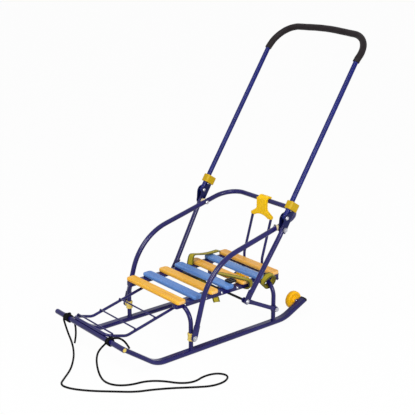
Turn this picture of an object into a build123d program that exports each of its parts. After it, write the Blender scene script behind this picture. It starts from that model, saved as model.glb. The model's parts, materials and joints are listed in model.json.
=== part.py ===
from build123d import *
import os
from math import atan2, cos, degrees, hypot, pi, radians, sin, sqrt, tan

# Folding push sled for a child. Millimetres, +X to the front, +Y to the sled's left, +Z up, floor at Z 0,
# origin on the floor below the middle of the sled.

# Clearances
RUN_FIT = 0.05  # radial clearance of a pivot on its pin
SEAM = 0.1  # gap left where a round piece is welded or laid on another
FACE_GAP = 0.3  # gap between faces that slide past each other

# Stock
TUBE_D = 16.0  # handle, hoop, struts and nose crossbar
LEG_D = 14.0  # leg arches
ROD_D = 9.0  # footrest frame
WIRE_D = 5.0  # footrest wires
STAY_D = 9.0  # stays of the holder
BAR_D = 10.0  # rear stay bar
CROSS_ROD_D = 8.0  # rod between the links
BOLT_D = 8.0  # pivots of the hoop
PIN_D = 7.0  # pivots of handle and links
SHEET_T = 2.0  # sheet of the hinge channels

# Runners: flat-oval tube lying flat, upturned at both ends
RUNNER_W = 28.0
RUNNER_T = 14.0
RUNNER_Y = 161.0
RUNNER_TAIL_X = -247.3
RUNNER_TAIL_RISE = 41.0
TAIL_BEND_X = -158.0
TAIL_BEND_R = 120.0
NOSE_BEND_X = 363.2
NOSE_BEND_R = 90.0
PLUG_LENGTH = 7.0

# Nose crossbar
CROSSBAR_X = 488.7
CROSSBAR_Z = 95.6
CROSSBAR_OVER = 15.0  # its ends past the runners' middle lines
CROSSBAR_PLUG = 7.0

# Leg arches, seat rails and slats
ARCH_X = {"front": 230.2, "rear": -112.3}
ARCH_TOP_Z = 144.5
ARCH_R = 50.0
RAIL_INSET = 43.0  # from a runner's middle line in to the rail's
RAIL_W = 25.0
RAIL_H = 13.0
RAIL_WALL = 2.5
RAIL_FRONT_X = 261.2
RAIL_REAR_X = -165.8
SLAT_COUNT = 7
SLAT_FIRST_X = 242.2
SLAT_PITCH = 64.5
SLAT_W = 35.0
SLAT_T = 12.0
SLAT_OVERHANG = 5.5  # slat ends past the rails
SLAT_CORNER_R = 11.0
SLAT_EDGE_R = 4.0

# Footrest: one bent rod from under the front arch over the crossbar and back, with wires across
REST_Y = 92.0
REST_REAR_X = 222.2
REST_BEND_X = 418.7
REST_BEND_Z = 88.5
REST_BEND_R = 40.0
REST_CORNER_R = 20.0
REST_OVER_BAR = 3.0  # how far behind the crossbar's axis the rod lies
WIRE_X = (470.5, 386.0, 313.0)
WIRE_OVERHANG = 6.0

# Pivots of the folding frame, seen from the side as X and Z
HOOP_PIVOT_Z = 55.0
LINK_PIVOT_Z = 55.0
STRUT_X = -125.9  # point on the strut's line abreast of the handle hinge
STRUT_Z = 369.3
STRUT_LEAN = 31.8  # degrees back from upright
HINGE_X = -112.5
HINGE_Z = 374.0
HANDLE_LEAN = 33.15
HOOP_ON_STRUT = 38.6  # from that point down the strut to the hoop's pivot

# Hoop: arms and backrest in one bent tube
HOOP_OUTSET = 17.0  # from a runner's middle line out to the arm
HOOP_SHOULDER_X = 168.4
HOOP_SHOULDER_Z = 269.5
HOOP_SHOULDER_R = 185.0
HOOP_BACK_X = -218.3
HOOP_BACK_R = 70.0
HOOP_TAB_W = 20.0
HOOP_TAB_T = 6.0
HOOP_TAB_LENGTH = 40.0
HOOP_TUBE_START = 26.0
BUSH_D = 18.0

# Clamps on the front legs
CLAMP_WALL = 4.0
CLAMP_HEIGHT = 30.0
CLAMP_BOSS_D = 18.0
BOLT_HEAD_D = 15.0
BOLT_HEAD_T = 4.0
RIVET_HEAD_D = 12.0
RIVET_HEAD_T = 2.0

# Struts, hinge channels and links
STRUT_FOOT_OUTSET = 8.5  # from the hoop's arm out to the strut's foot
STRUT_BEND = 62.0  # from abreast of the handle hinge down to the strut's slight bend
STRUT_BEND_R = 150.0
STRUT_TOP_GAP = 20.0
STRUT_EYE_T = 6.0
STRUT_EYE_D = 20.0
STRUT_EYE_LENGTH = 36.0
HANDLE_OUTSET = 25.0  # from the hoop's arm out to the handle's leg
CHANNEL_SIDE_GAP = 1.2
CHANNEL_BELOW = 52.0
CHANNEL_ABOVE = 24.0
CHANNEL_EAR_R = 12.5
CHANNEL_FOOT_HALF = 9.5
LINK_OUTSET = 12.2  # from a runner's middle line out to the link
LINK_W = 13.0
LINK_T = 5.0
LINK_EYE_D = 18.0
LINK_TAPER = 48.0  # from the strut's foot to where the bar reaches its even width
CLIP_WALL = 2.0
CLIP_HEIGHT = 16.0
CLIP_SHOULDER_D = 14.0
CLIP_HEAD_D = 13.0

# Push handle and its foam grip
HANDLE_KNEE = 550.0  # along the leg from the hinge to where the grip bends back
HANDLE_KNEE_R = 60.0
HANDLE_CORNER = 641.0
HANDLE_CORNER_R = 82.0
HANDLE_BACK = 20.0  # how far the top is bent back
HANDLE_CROWN = 12.0  # rise of the top at its middle
HANDLE_CROWN_R = 900.0
GRIP_START = 543.0
GRIP_D = 22.0
SLEEVE_START = 29.0
SLEEVE_LENGTH = 26.0
SLEEVE_W = 28.0
SLEEVE_DEPTH = 39.0
SLEEVE_BACK = 9.0  # its middle lies this far behind the handle
SLEEVE_R = 7.0

# Holder that hangs over the hoop's back, and its stays
HOLDER_HALF = 22.0
HOLDER_WALL = 7.0
HOLDER_PLATE_T = 11.0
HOLDER_EDGE_R = 2.0
HOLDER_FOOT_Z = 308.0
HOLDER_FOOT_H = 9.0
HOLDER_FOOT_HALF = 49.0
HOLDER_FLARE = 26.0  # height of the flare above the feet
HOLDER_ARCH_HALF = 33.0
HOLDER_ARCH_RISE = 9.0
HOLDER_HOOK_END = 138.0  # degrees from the front over the top to the back
STAY_Y = 44.0
STAY_KNEE_Z = 180.0
STAY_KNEE_R = 40.0

# Wheels on stub axles inside the runner tails
WHEEL_D = 60.0
WHEEL_W = 20.0
WHEEL_HUB_D = 22.0
WHEEL_HUB_W = 24.0
WHEEL_WEB_T = 10.0
WHEEL_RIM_T = 7.0
WHEEL_X = -233.3
AXLE_D = 10.0
AXLE_COLLAR_D = 16.0
AXLE_HEAD_T = 4.0
WHEEL_SIDE_GAP = 0.5
AXLE_COLLAR_L = 4.5

# Lap belt
BELT_W = 22.0
BELT_T = 2.0
BELT_LIFT = 0.3
BELT_BEND_R = 9.0
BELT_HUMP = 24.0
BELT_LOOP_R = 26.0
BELT_LOOP_TILT = 20.0  # degrees its axis slopes down to the outside
BELT_LOOP_AT = 60.0  # degrees round the rear arch's bend, where its rim rests
BUCKLE_L = 28.0
BUCKLE_W = 28.0
BUCKLE_T = 6.0

# Tow rope: route from knot to knot, as lain on the floor in front of the sled
ROPE_D = 6.0
KNOT_OD = 28.0
KNOTS = {"left": (97.5, 119.0), "right": (-131.0, -101.0)}  # Y range of the turns on the crossbar
ROPE_ROUTE = [
    (500.0, -127.0, 90.0),
    (500.0, -110.0, 58.0),
    (500.5, -81.0, 26.0),
    (514.0, -52.0, 7.0),
    (540.0, -16.0, 3.2),
    (575.0, 26.0, 3.2),
    (616.5, 60.5, 3.2),
    (650.0, 88.0, 3.2),
    (640.0, 128.0, 3.2),
    (602.0, 176.0, 3.2),
    (555.0, 219.0, 3.2),
    (510.0, 260.0, 3.2),
    (464.0, 280.0, 3.2),
    (414.0, 309.0, 3.2),
    (366.0, 343.0, 3.2),
    (320.0, 372.0, 3.2),
    (272.0, 374.0, 3.2),
    (242.0, 350.0, 3.2),
    (258.0, 318.0, 3.2),
    (300.0, 308.0, 3.2),
    (344.0, 320.0, 3.2),
    (382.0, 300.0, 3.2),
    (410.0, 256.0, 3.2),
    (448.0, 226.0, 3.2),
    (496.0, 218.0, 3.2),
    (532.0, 192.0, 3.2),
    (543.0, 154.0, 3.2),
    (532.0, 114.0, 5.0),
    (519.0, 82.0, 16.0),
    (510.0, 66.0, 36.0),
    (504.0, 72.0, 62.0),
    (500.5, 101.0, 90.0),
]
TAIL_ROUTES = {
    "left": [
        (484.0, 114.0, 106.0),
        (473.0, 127.0, 111.0),
        (464.0, 146.0, 111.0),
        (457.0, 163.0, 103.0),
        (453.0, 173.0, 93.0),
    ],
    "right": [
        (478.0, -103.5, 89.0),
        (475.0, -101.0, 72.0),
        (476.5, -97.0, 52.0),
        (478.5, -97.0, 32.0),
        (479.0, -103.0, 13.0),
    ],
}

# Derived places
SIDES = {"left": 1, "right": -1}
CROSSBAR_HALF = RUNNER_Y + CROSSBAR_OVER
RAIL_Y = RUNNER_Y - RAIL_INSET
SLAT_LENGTH = 2 * RAIL_Y + RAIL_W + 2 * SLAT_OVERHANG
HOOP_Y = RUNNER_Y + HOOP_OUTSET
STRUT_FOOT_Y = HOOP_Y + STRUT_FOOT_OUTSET
HANDLE_Y = HOOP_Y + HANDLE_OUTSET
LINK_Y = RUNNER_Y + LINK_OUTSET
RAIL_SEAT_Z = ARCH_TOP_Z + LEG_D / 2 + SEAM  # underside of the rail's top, on the arches
RAIL_BOTTOM_Z = RAIL_SEAT_Z + RAIL_WALL - RAIL_H
SLAT_BOTTOM_Z = RAIL_SEAT_Z + RAIL_WALL
SLAT_TOP_Z = SLAT_BOTTOM_Z + SLAT_T
RUNNER_Z = RUNNER_T / 2
SLAT_X = [SLAT_FIRST_X - SLAT_PITCH * i for i in range(SLAT_COUNT)]


def up_line(x, z, lean, along, back=0.0):
    """X and Z at a distance up a line that leans back from upright, set back from the line."""
    angle = radians(lean)
    return x - along * sin(angle) - back * cos(angle), z + along * cos(angle) - back * sin(angle)


def on_handle(along, back=0.0):
    """X and Z of a point along the handle's leg from its hinge."""
    return up_line(HINGE_X, HINGE_Z, HANDLE_LEAN, along, back)


def on_strut(along, back=0.0):
    """X and Z of a point along the strut's line, from abreast of the handle hinge."""
    return up_line(STRUT_X, STRUT_Z, STRUT_LEAN, along, back)


def fold_flat_strut(hoop_pivot, link_pivot, top_pivot):
    """Length of strut below the hoop's pivot that lets hoop, strut and link fold into one line."""
    lean = radians(STRUT_LEAN)
    hoop_arm = hypot(top_pivot[0] - hoop_pivot[0], top_pivot[1] - hoop_pivot[1])
    spare = hoop_arm - hypot(link_pivot[0] - hoop_pivot[0], link_pivot[1] - hoop_pivot[1])
    dx = top_pivot[0] - link_pivot[0]
    dz = top_pivot[1] - link_pivot[1]
    down = sin(lean) * dx - cos(lean) * dz
    return (spare**2 - dx**2 - dz**2) / (2 * (down + spare))


HOOP_PIVOT = (ARCH_X["front"], HOOP_PIVOT_Z)
LINK_PIVOT = (ARCH_X["rear"], LINK_PIVOT_Z)
STRUT_PIVOT = on_strut(-HOOP_ON_STRUT)
STRUT_REACH = fold_flat_strut(HOOP_PIVOT, LINK_PIVOT, STRUT_PIVOT)
FOOT_PIVOT = on_strut(-HOOP_ON_STRUT - STRUT_REACH)


def rod(start, end, diameter):
    """Straight round bar between two points."""
    start = Vector(*start)
    end = Vector(*end)
    place = Plane(origin=start, z_dir=end - start)
    return place * Cylinder(diameter / 2, (end - start).length, align=(Align.CENTER, Align.CENTER, Align.MIN))


def lateral(x, z, y_from, y_to, diameter):
    """Round bar across the sled."""
    return rod((x, min(y_from, y_to), z), (x, max(y_from, y_to), z), diameter)


def bent(points, radii, diameter, bore=0.0):
    """Round tube along straight runs joined by arcs."""
    path = FilletPolyline(*points, radius=radii)
    start = Plane(origin=path @ 0, z_dir=path % 0)
    section = start * Circle(diameter / 2)
    if bore:
        section -= start * Circle(bore / 2)
    return sweep(section, path=path)


def cord(points, diameter, name):
    """Cord along a route, each corner rounded as far as its two runs allow."""
    corners = [Vector(*p) for p in points]
    radii = []
    for before, here, after in zip(corners, corners[1:], corners[2:]):
        turn = radians((here - before).get_angle(after - here))
        run = min((here - before).length, (after - here).length)
        radii.append(0.45 * run / tan(turn / 2))
    path = FilletPolyline(*points, radius=radii)
    section = Plane(origin=path @ 0, z_dir=path % 0) * Circle(diameter / 2)
    solid = sweep(section, path=path)
    expected = pi * diameter**2 / 4 * path.length
    tightest = min(r for r in radii)
    print(name, "length", round(path.length, 1), "tightest radius", round(tightest, 1))
    print(name, "radii", [round(min(r, 9999.0)) for r in radii], "volume ratio", round(solid.volume / expected, 4))
    return solid


def eye_plate(tip, towards, length, width, thickness, y_mid):
    """Flat tab in a plane along the sled: round about its tip, running towards a point."""
    angle = degrees(atan2(towards[1] - tip[1], towards[0] - tip[0]))
    outline = Circle(width / 2) + Pos(length / 2, 0) * Rectangle(length, width)
    plane = Plane(origin=(tip[0], y_mid + thickness / 2, tip[1]), x_dir=(1, 0, 0), z_dir=(0, -1, 0))
    return extrude(plane * Rot(0, 0, angle) * outline, thickness)


def both_sides(make):
    """Left piece from a function and its mirror image for the right."""
    left = make()
    return {"left": left, "right": mirror(left, about=Plane.XZ)}


def make_axle():
    """Stub axle set into the runner's tail, with a collar and a head that keep the wheel."""
    z = tail_height(WHEEL_X)
    inner_edge = RUNNER_Y - RUNNER_W / 2
    collar_end = inner_edge - SEAM - AXLE_COLLAR_L
    head_start = collar_end - WHEEL_HUB_W - 2 * WHEEL_SIDE_GAP
    axle = lateral(WHEEL_X, z, RUNNER_Y, head_start, AXLE_D)
    axle += lateral(WHEEL_X, z, inner_edge - SEAM, collar_end, AXLE_COLLAR_D)
    axle += lateral(WHEEL_X, z, head_start, head_start - AXLE_HEAD_T, AXLE_COLLAR_D)
    return axle


def tail_height(x):
    """Height of the runner's middle on the straight part of its tail."""
    share = (TAIL_BEND_X - x) / (TAIL_BEND_X - RUNNER_TAIL_X)
    return RUNNER_Z + RUNNER_TAIL_RISE * share


def make_runner():
    """Runner: flat-oval tube, its nose saddled to the crossbar, its tail bored for the axle."""
    points = [
        (RUNNER_TAIL_X, RUNNER_Y, RUNNER_Z + RUNNER_TAIL_RISE),
        (TAIL_BEND_X, RUNNER_Y, RUNNER_Z),
        (NOSE_BEND_X, RUNNER_Y, RUNNER_Z),
        (CROSSBAR_X, RUNNER_Y, CROSSBAR_Z),
    ]
    path = FilletPolyline(*points, radius=[TAIL_BEND_R, NOSE_BEND_R])
    start = Plane(origin=path @ 0, x_dir=(0, 1, 0), z_dir=path % 0)
    runner = sweep(start * SlotOverall(RUNNER_W, RUNNER_T), path=path)
    saddle = lateral(CROSSBAR_X, CROSSBAR_Z, RUNNER_Y - RUNNER_W, RUNNER_Y + RUNNER_W, TUBE_D + 2 * SEAM)
    beyond = Pos(CROSSBAR_X + TUBE_D, RUNNER_Y, CROSSBAR_Z) * Box(2 * TUBE_D, 2 * RUNNER_W, 4 * TUBE_D)
    bore = lateral(WHEEL_X, tail_height(WHEEL_X), RUNNER_Y, RUNNER_Y - RUNNER_W, AXLE_D)
    return runner - saddle - beyond - bore


def make_tail_plug():
    """Plug that closes the runner's tail."""
    tail = Vector(RUNNER_TAIL_X, RUNNER_Y, RUNNER_Z + RUNNER_TAIL_RISE)
    away = tail - Vector(TAIL_BEND_X, RUNNER_Y, RUNNER_Z)
    plane = Plane(origin=tail, x_dir=(0, 1, 0), z_dir=away)
    plug = extrude(plane * SlotOverall(RUNNER_W, RUNNER_T), PLUG_LENGTH)
    return fillet(plug.edges().group_by(Axis(tail, away))[-1], PLUG_LENGTH / 3)


def make_crossbar_plug():
    """Domed plug in the crossbar's end."""
    plug = lateral(CROSSBAR_X, CROSSBAR_Z, CROSSBAR_HALF, CROSSBAR_HALF + CROSSBAR_PLUG, TUBE_D)
    return fillet(plug.edges().group_by(Axis.Y)[-1], CROSSBAR_PLUG / 2)


def make_arch(x):
    """Leg arch: two legs and the cross tube under the seat, in one bend."""
    points = [(x, RUNNER_Y, RUNNER_T), (x, RUNNER_Y, ARCH_TOP_Z)]
    points += [(x, -RUNNER_Y, ARCH_TOP_Z), (x, -RUNNER_Y, RUNNER_T)]
    return bent(points, [ARCH_R, ARCH_R], LEG_D)


def make_rail():
    """Seat rail: sheet channel open below, its flanges notched over the leg arches."""
    length = RAIL_FRONT_X - RAIL_REAR_X
    top = RAIL_BOTTOM_Z + RAIL_H
    plane = Plane(origin=((RAIL_FRONT_X + RAIL_REAR_X) / 2, RAIL_Y, RAIL_BOTTOM_Z))
    rail = extrude(plane * RectangleRounded(length, RAIL_W, RAIL_W / 4), RAIL_H)
    rail = fillet(rail.edges().group_by(Axis.Z)[-1], RAIL_WALL / 2)
    inside = plane * RectangleRounded(length - 2 * RAIL_WALL, RAIL_W - 2 * RAIL_WALL, RAIL_W / 4 - RAIL_WALL)
    rail -= extrude(inside, RAIL_H - RAIL_WALL)
    for x in ARCH_X.values():
        notch = lateral(x, ARCH_TOP_Z, RAIL_Y - RAIL_W, RAIL_Y + RAIL_W, LEG_D + 2 * SEAM)
        below = Pos(x, RAIL_Y, ARCH_TOP_Z - LEG_D) * Box(LEG_D + 2 * SEAM, 2 * RAIL_W, 2 * LEG_D)
        rail -= notch + below
    return rail


def make_slat(x):
    """Wooden slat with rounded ends and edges."""
    outline = Pos(x, 0, SLAT_BOTTOM_Z) * RectangleRounded(SLAT_W, SLAT_LENGTH, SLAT_CORNER_R)
    slat = extrude(outline, SLAT_T)
    ends = slat.edges().group_by(Axis.Z)
    return fillet(ends[0] + ends[-1], SLAT_EDGE_R)


def rest_height(x):
    """Height of the footrest rod's middle at a place along the sled."""
    if x > REST_BEND_X:
        front_x, front_z = rest_front()
        return REST_BEND_Z + (front_z - REST_BEND_Z) * (x - REST_BEND_X) / (front_x - REST_BEND_X)
    rise = rest_under_arch() - REST_BEND_Z
    return REST_BEND_Z + rise * (REST_BEND_X - x) / (REST_BEND_X - ARCH_X["front"])


def rest_front():
    """X and Z of the footrest rod where it lies on the crossbar."""
    reach = (TUBE_D + ROD_D) / 2 + SEAM
    return CROSSBAR_X - REST_OVER_BAR, CROSSBAR_Z + sqrt(reach**2 - REST_OVER_BAR**2)


def rest_under_arch():
    """Height of the footrest rod's middle where it passes under the front arch."""
    rise = ARCH_TOP_Z - REST_BEND_Z
    slope = atan2(rise, REST_BEND_X - ARCH_X["front"])
    return ARCH_TOP_Z - ((LEG_D + ROD_D) / 2 + SEAM) / cos(slope)


def make_footrest():
    """Footrest frame: one rod bent round both sides and across the front."""
    front_x, front_z = rest_front()
    side = [
        (REST_REAR_X, REST_Y, rest_height(REST_REAR_X)),
        (REST_BEND_X, REST_Y, REST_BEND_Z),
        (front_x, REST_Y, front_z),
    ]
    points = side + [(x, -y, z) for x, y, z in reversed(side)]
    return bent(points, [REST_BEND_R, REST_CORNER_R, REST_CORNER_R, REST_BEND_R], ROD_D)


def make_wires():
    """Three wires welded across the footrest rods."""
    lift = (ROD_D + WIRE_D) / 2 + SEAM
    half = REST_Y + WIRE_OVERHANG
    wires = []
    for x in WIRE_X:
        slope = atan2(rest_height(x + 1) - rest_height(x - 1), 2)
        wires.append(lateral(x - lift * sin(slope), rest_height(x) + lift * cos(slope), -half, half, WIRE_D))
    return Compound(children=[w.solid() for w in wires])


def make_clamp():
    """Plastic collar on the front leg with a boss for the hoop's pivot bolt."""
    x, z = HOOP_PIVOT
    collar = Pos(x, RUNNER_Y, z) * Cylinder(LEG_D / 2 + CLAMP_WALL, CLAMP_HEIGHT)
    collar = fillet(collar.edges().group_by(Axis.Z)[0] + collar.edges().group_by(Axis.Z)[-1], CLAMP_WALL / 3)
    face = HOOP_Y - HOOP_TAB_T / 2 - FACE_GAP
    clamp = collar + lateral(x, z, RUNNER_Y, face, CLAMP_BOSS_D)
    leg = Pos(x, RUNNER_Y, z) * Cylinder(LEG_D / 2, 2 * CLAMP_HEIGHT)
    bolt = lateral(x, z, RUNNER_Y, HOOP_Y, BOLT_D)
    return clamp - leg - bolt


def make_pivot_bolt():
    """Bolt from the clamp through the hoop's flattened end, with a domed head."""
    x, z = HOOP_PIVOT
    inner = RUNNER_Y + LEG_D / 2 + SEAM
    head = HOOP_Y + HOOP_TAB_T / 2 + FACE_GAP
    cap = lateral(x, z, head, head + BOLT_HEAD_T, BOLT_HEAD_D)
    cap = fillet(cap.edges().group_by(Axis.Y)[-1], BOLT_HEAD_T / 2)
    return lateral(x, z, inner, head, BOLT_D) + cap


def hoop_back_height():
    """Height of the hoop's back, on the line of its arms through the strut's pivot."""
    slope = (STRUT_PIVOT[1] - HOOP_SHOULDER_Z) / (STRUT_PIVOT[0] - HOOP_SHOULDER_X)
    return STRUT_PIVOT[1] + slope * (HOOP_BACK_X - STRUT_PIVOT[0])


def make_hoop():
    """Hoop: armrests and backrest in one tube, its lower ends pressed flat and bored."""
    arm = Vector(HOOP_SHOULDER_X - HOOP_PIVOT[0], HOOP_SHOULDER_Z - HOOP_PIVOT[1])
    start = Vector(*HOOP_PIVOT) + arm.normalized() * HOOP_TUBE_START
    side = [
        (start.X, HOOP_Y, start.Y),
        (HOOP_SHOULDER_X, HOOP_Y, HOOP_SHOULDER_Z),
        (HOOP_BACK_X, HOOP_Y, hoop_back_height()),
    ]
    points = side + [(x, -y, z) for x, y, z in reversed(side)]
    hoop = bent(points, [HOOP_SHOULDER_R, HOOP_BACK_R, HOOP_BACK_R, HOOP_SHOULDER_R], TUBE_D)
    shoulder = (HOOP_SHOULDER_X, HOOP_SHOULDER_Z)
    for side_sign in SIDES.values():
        y = side_sign * HOOP_Y
        hoop += eye_plate(HOOP_PIVOT, shoulder, HOOP_TAB_LENGTH, HOOP_TAB_W, HOOP_TAB_T, y)
        hoop -= lateral(*HOOP_PIVOT, y - TUBE_D, y + TUBE_D, BOLT_D + 2 * RUN_FIT)
        hoop -= lateral(*STRUT_PIVOT, y - TUBE_D, y + TUBE_D, BOLT_D)
    return hoop


def channel_half():
    """Half the width of a hinge channel inside its cheeks."""
    return TUBE_D / 2 + CHANNEL_SIDE_GAP


def make_strut_pin():
    """Pivot bolt through hoop, bush, channel and strut."""
    outer = HANDLE_Y + channel_half() + SHEET_T + FACE_GAP
    pin = lateral(*STRUT_PIVOT, HOOP_Y - TUBE_D / 2 - BOLT_HEAD_T, outer, BOLT_D)
    cap = lateral(*STRUT_PIVOT, outer, outer + BOLT_HEAD_T, BOLT_HEAD_D)
    return pin + fillet(cap.edges().group_by(Axis.Y)[-1], BOLT_HEAD_T / 2)


def make_bush():
    """Plastic bush between the hoop and the hinge channel, hollowed to seat on the tube."""
    outer = HANDLE_Y - channel_half() - SHEET_T - FACE_GAP
    bush = lateral(*STRUT_PIVOT, HOOP_Y, outer, BUSH_D)
    slope = Vector(HOOP_BACK_X - STRUT_PIVOT[0], 0, hoop_back_height() - STRUT_PIVOT[1]).normalized()
    middle = Vector(STRUT_PIVOT[0], HOOP_Y, STRUT_PIVOT[1])
    tube = rod(middle - slope * BUSH_D, middle + slope * BUSH_D, TUBE_D + 2 * SEAM)
    return bush - tube - lateral(*STRUT_PIVOT, HOOP_Y, outer, BOLT_D)


def make_strut():
    """Strut: tube with a slight bend, its foot pressed flat and bored."""
    foot_x, foot_z = FOOT_PIVOT
    bend_x, bend_z = on_strut(-STRUT_BEND)
    top_x, top_z = on_strut(-STRUT_TOP_GAP)
    foot = Vector(foot_x, STRUT_FOOT_Y, foot_z)
    bend = Vector(bend_x, HANDLE_Y, bend_z)
    start = foot + (bend - foot).normalized() * (STRUT_EYE_LENGTH - STRUT_EYE_T)
    strut = bent([start, bend, (top_x, HANDLE_Y, top_z)], [STRUT_BEND_R], TUBE_D)
    strut += eye_plate(FOOT_PIVOT, (bend_x, bend_z), STRUT_EYE_LENGTH, STRUT_EYE_D, STRUT_EYE_T, STRUT_FOOT_Y)
    return strut - lateral(*STRUT_PIVOT, HANDLE_Y - TUBE_D, HANDLE_Y + TUBE_D, BOLT_D + 2 * RUN_FIT)


def make_link_rod():
    """Rod across the sled that ties the two links at the struts' feet."""
    half = STRUT_FOOT_Y - STRUT_EYE_T / 2 - FACE_GAP
    return lateral(*FOOT_PIVOT, -half, half, CROSS_ROD_D)


def make_foot_bolt():
    """Outer half of the bolt at the strut's foot: a dome on the flattened end."""
    outer = STRUT_FOOT_Y + STRUT_EYE_T / 2
    dome = lateral(*FOOT_PIVOT, outer, outer + BOLT_HEAD_T, BOLT_HEAD_D)
    return fillet(dome.edges().group_by(Axis.Y)[-1], BOLT_HEAD_T / 2)


def make_channel():
    """Hinge channel: folded sheet, open to the front, holding the strut below and the handle's pin in its ears."""
    half = channel_half()
    rear = -TUBE_D / 2 - FACE_GAP - SHEET_T
    lean = radians(STRUT_LEAN)
    ear_x = (HINGE_X - STRUT_X) * cos(lean) + (HINGE_Z - STRUT_Z) * sin(lean)
    ear_z = (HINGE_Z - STRUT_Z) * cos(lean) - (HINGE_X - STRUT_X) * sin(lean)
    outer = HANDLE_Y + half + SHEET_T
    plane = Plane(origin=(STRUT_X, outer, STRUT_Z), x_dir=(cos(lean), 0, sin(lean)), z_dir=(0, -1, 0))
    front = ear_x + CHANNEL_EAR_R
    side = make_face(Polyline((rear, -CHANNEL_BELOW), (CHANNEL_FOOT_HALF, -CHANNEL_BELOW),
                              (front, ear_z - CHANNEL_EAR_R), (front, ear_z + CHANNEL_EAR_R),
                              (CHANNEL_FOOT_HALF, CHANNEL_ABOVE), (rear, CHANNEL_ABOVE), close=True))
    ear = [v for v in side.vertices() if v.X > front - SHEET_T / 2]
    side = fillet(ear, CHANNEL_EAR_R * 0.8)
    block = extrude(plane * side, 2 * (half + SHEET_T))
    room = Plane(origin=(STRUT_X, outer - SHEET_T, STRUT_Z), x_dir=(cos(lean), 0, sin(lean)), z_dir=(0, -1, 0))
    reach = front - rear + CHANNEL_BELOW + CHANNEL_ABOVE
    inside = Pos(rear + SHEET_T + reach / 2, 0) * Rectangle(reach, 2 * reach)
    channel = block - extrude(room * inside, 2 * half)
    channel -= lateral(*STRUT_PIVOT, HANDLE_Y - 2 * TUBE_D, HANDLE_Y + 2 * TUBE_D, BOLT_D + 2 * RUN_FIT)
    return channel - lateral(HINGE_X, HINGE_Z, HANDLE_Y - 2 * TUBE_D, HANDLE_Y + 2 * TUBE_D, PIN_D)


def make_hinge_pin():
    """Rivet across the hinge channel on which the handle turns."""
    face = channel_half() + SHEET_T
    pin = lateral(HINGE_X, HINGE_Z, HANDLE_Y - face, HANDLE_Y + face, PIN_D)
    for inner, outer in ((face, face + RIVET_HEAD_T), (-face - RIVET_HEAD_T, -face)):
        pin += lateral(HINGE_X, HINGE_Z, HANDLE_Y + inner, HANDLE_Y + outer, RIVET_HEAD_D)
    return pin


def make_link():
    """Link from the rear leg to the strut's foot: a flat bar with round ends, on the rod that ties both links."""
    reach = hypot(FOOT_PIVOT[0] - LINK_PIVOT[0], FOOT_PIVOT[1] - LINK_PIVOT[1])
    link = eye_plate(LINK_PIVOT, FOOT_PIVOT, reach, LINK_W, LINK_T, LINK_Y)
    for x, z in (LINK_PIVOT, FOOT_PIVOT):
        link += lateral(x, z, LINK_Y - LINK_T / 2, LINK_Y + LINK_T / 2, LINK_EYE_D)
    angle = degrees(atan2(LINK_PIVOT[1] - FOOT_PIVOT[1], LINK_PIVOT[0] - FOOT_PIVOT[0]))
    wide = make_face(Polyline((0, -LINK_EYE_D / 2), (LINK_TAPER, -LINK_W / 2), (LINK_TAPER, LINK_W / 2),
                              (0, LINK_EYE_D / 2), close=True))
    plane = Plane(origin=(FOOT_PIVOT[0], LINK_Y + LINK_T / 2, FOOT_PIVOT[1]), x_dir=(1, 0, 0), z_dir=(0, -1, 0))
    link += extrude(plane * Rot(0, 0, angle) * wide, LINK_T)
    bore = lateral(*LINK_PIVOT, LINK_Y - LINK_T, LINK_Y + LINK_T, PIN_D + 2 * RUN_FIT)
    return link - bore - lateral(*FOOT_PIVOT, LINK_Y - LINK_T, LINK_Y + LINK_T, CROSS_ROD_D)


def make_clip():
    """Clip round the rear leg with the pin that carries the link."""
    x, z = LINK_PIVOT
    ring = Pos(x, RUNNER_Y, z) * Cylinder(LEG_D / 2 + CLIP_WALL, CLIP_HEIGHT)
    shoulder = LINK_Y - LINK_T / 2 - FACE_GAP
    end = LINK_Y + LINK_T / 2 + FACE_GAP
    clip = ring + lateral(x, z, RUNNER_Y, shoulder, CLIP_SHOULDER_D)
    clip += lateral(x, z, RUNNER_Y, end, PIN_D)
    clip += lateral(x, z, end, end + BOLT_HEAD_T, CLIP_HEAD_D)
    return clip - Pos(x, RUNNER_Y, z) * Cylinder(LEG_D / 2, 2 * CLIP_HEIGHT)


def handle_points(start):
    """Route of the handle's tube from one leg over the top to the other."""
    leg = []
    for along, back in ((start, 0.0), (HANDLE_KNEE, 0.0), (HANDLE_CORNER, HANDLE_BACK)):
        x, z = on_handle(along, back)
        leg.append((x, HANDLE_Y, z))
    crown_x, crown_z = on_handle(HANDLE_CORNER + HANDLE_CROWN, HANDLE_BACK)
    return leg + [(crown_x, 0, crown_z)] + [(x, -y, z) for x, y, z in reversed(leg)]


HANDLE_RADII = [HANDLE_KNEE_R, HANDLE_CORNER_R, HANDLE_CROWN_R, HANDLE_CORNER_R, HANDLE_KNEE_R]


def make_handle():
    """Push handle: one tube, its legs rounded at the hinge and bored for the hinge pins."""
    handle = bent(handle_points(0.0), HANDLE_RADII, TUBE_D)
    for side_sign in SIDES.values():
        y = side_sign * HANDLE_Y
        handle += Pos(HINGE_X, y, HINGE_Z) * Sphere(TUBE_D / 2)
        handle -= lateral(HINGE_X, HINGE_Z, y - TUBE_D, y + TUBE_D, PIN_D + 2 * RUN_FIT)
    return handle


def make_grip():
    """Foam grip over the top of the handle."""
    return bent(handle_points(GRIP_START), HANDLE_RADII, GRIP_D, TUBE_D + 2 * RUN_FIT)


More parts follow.
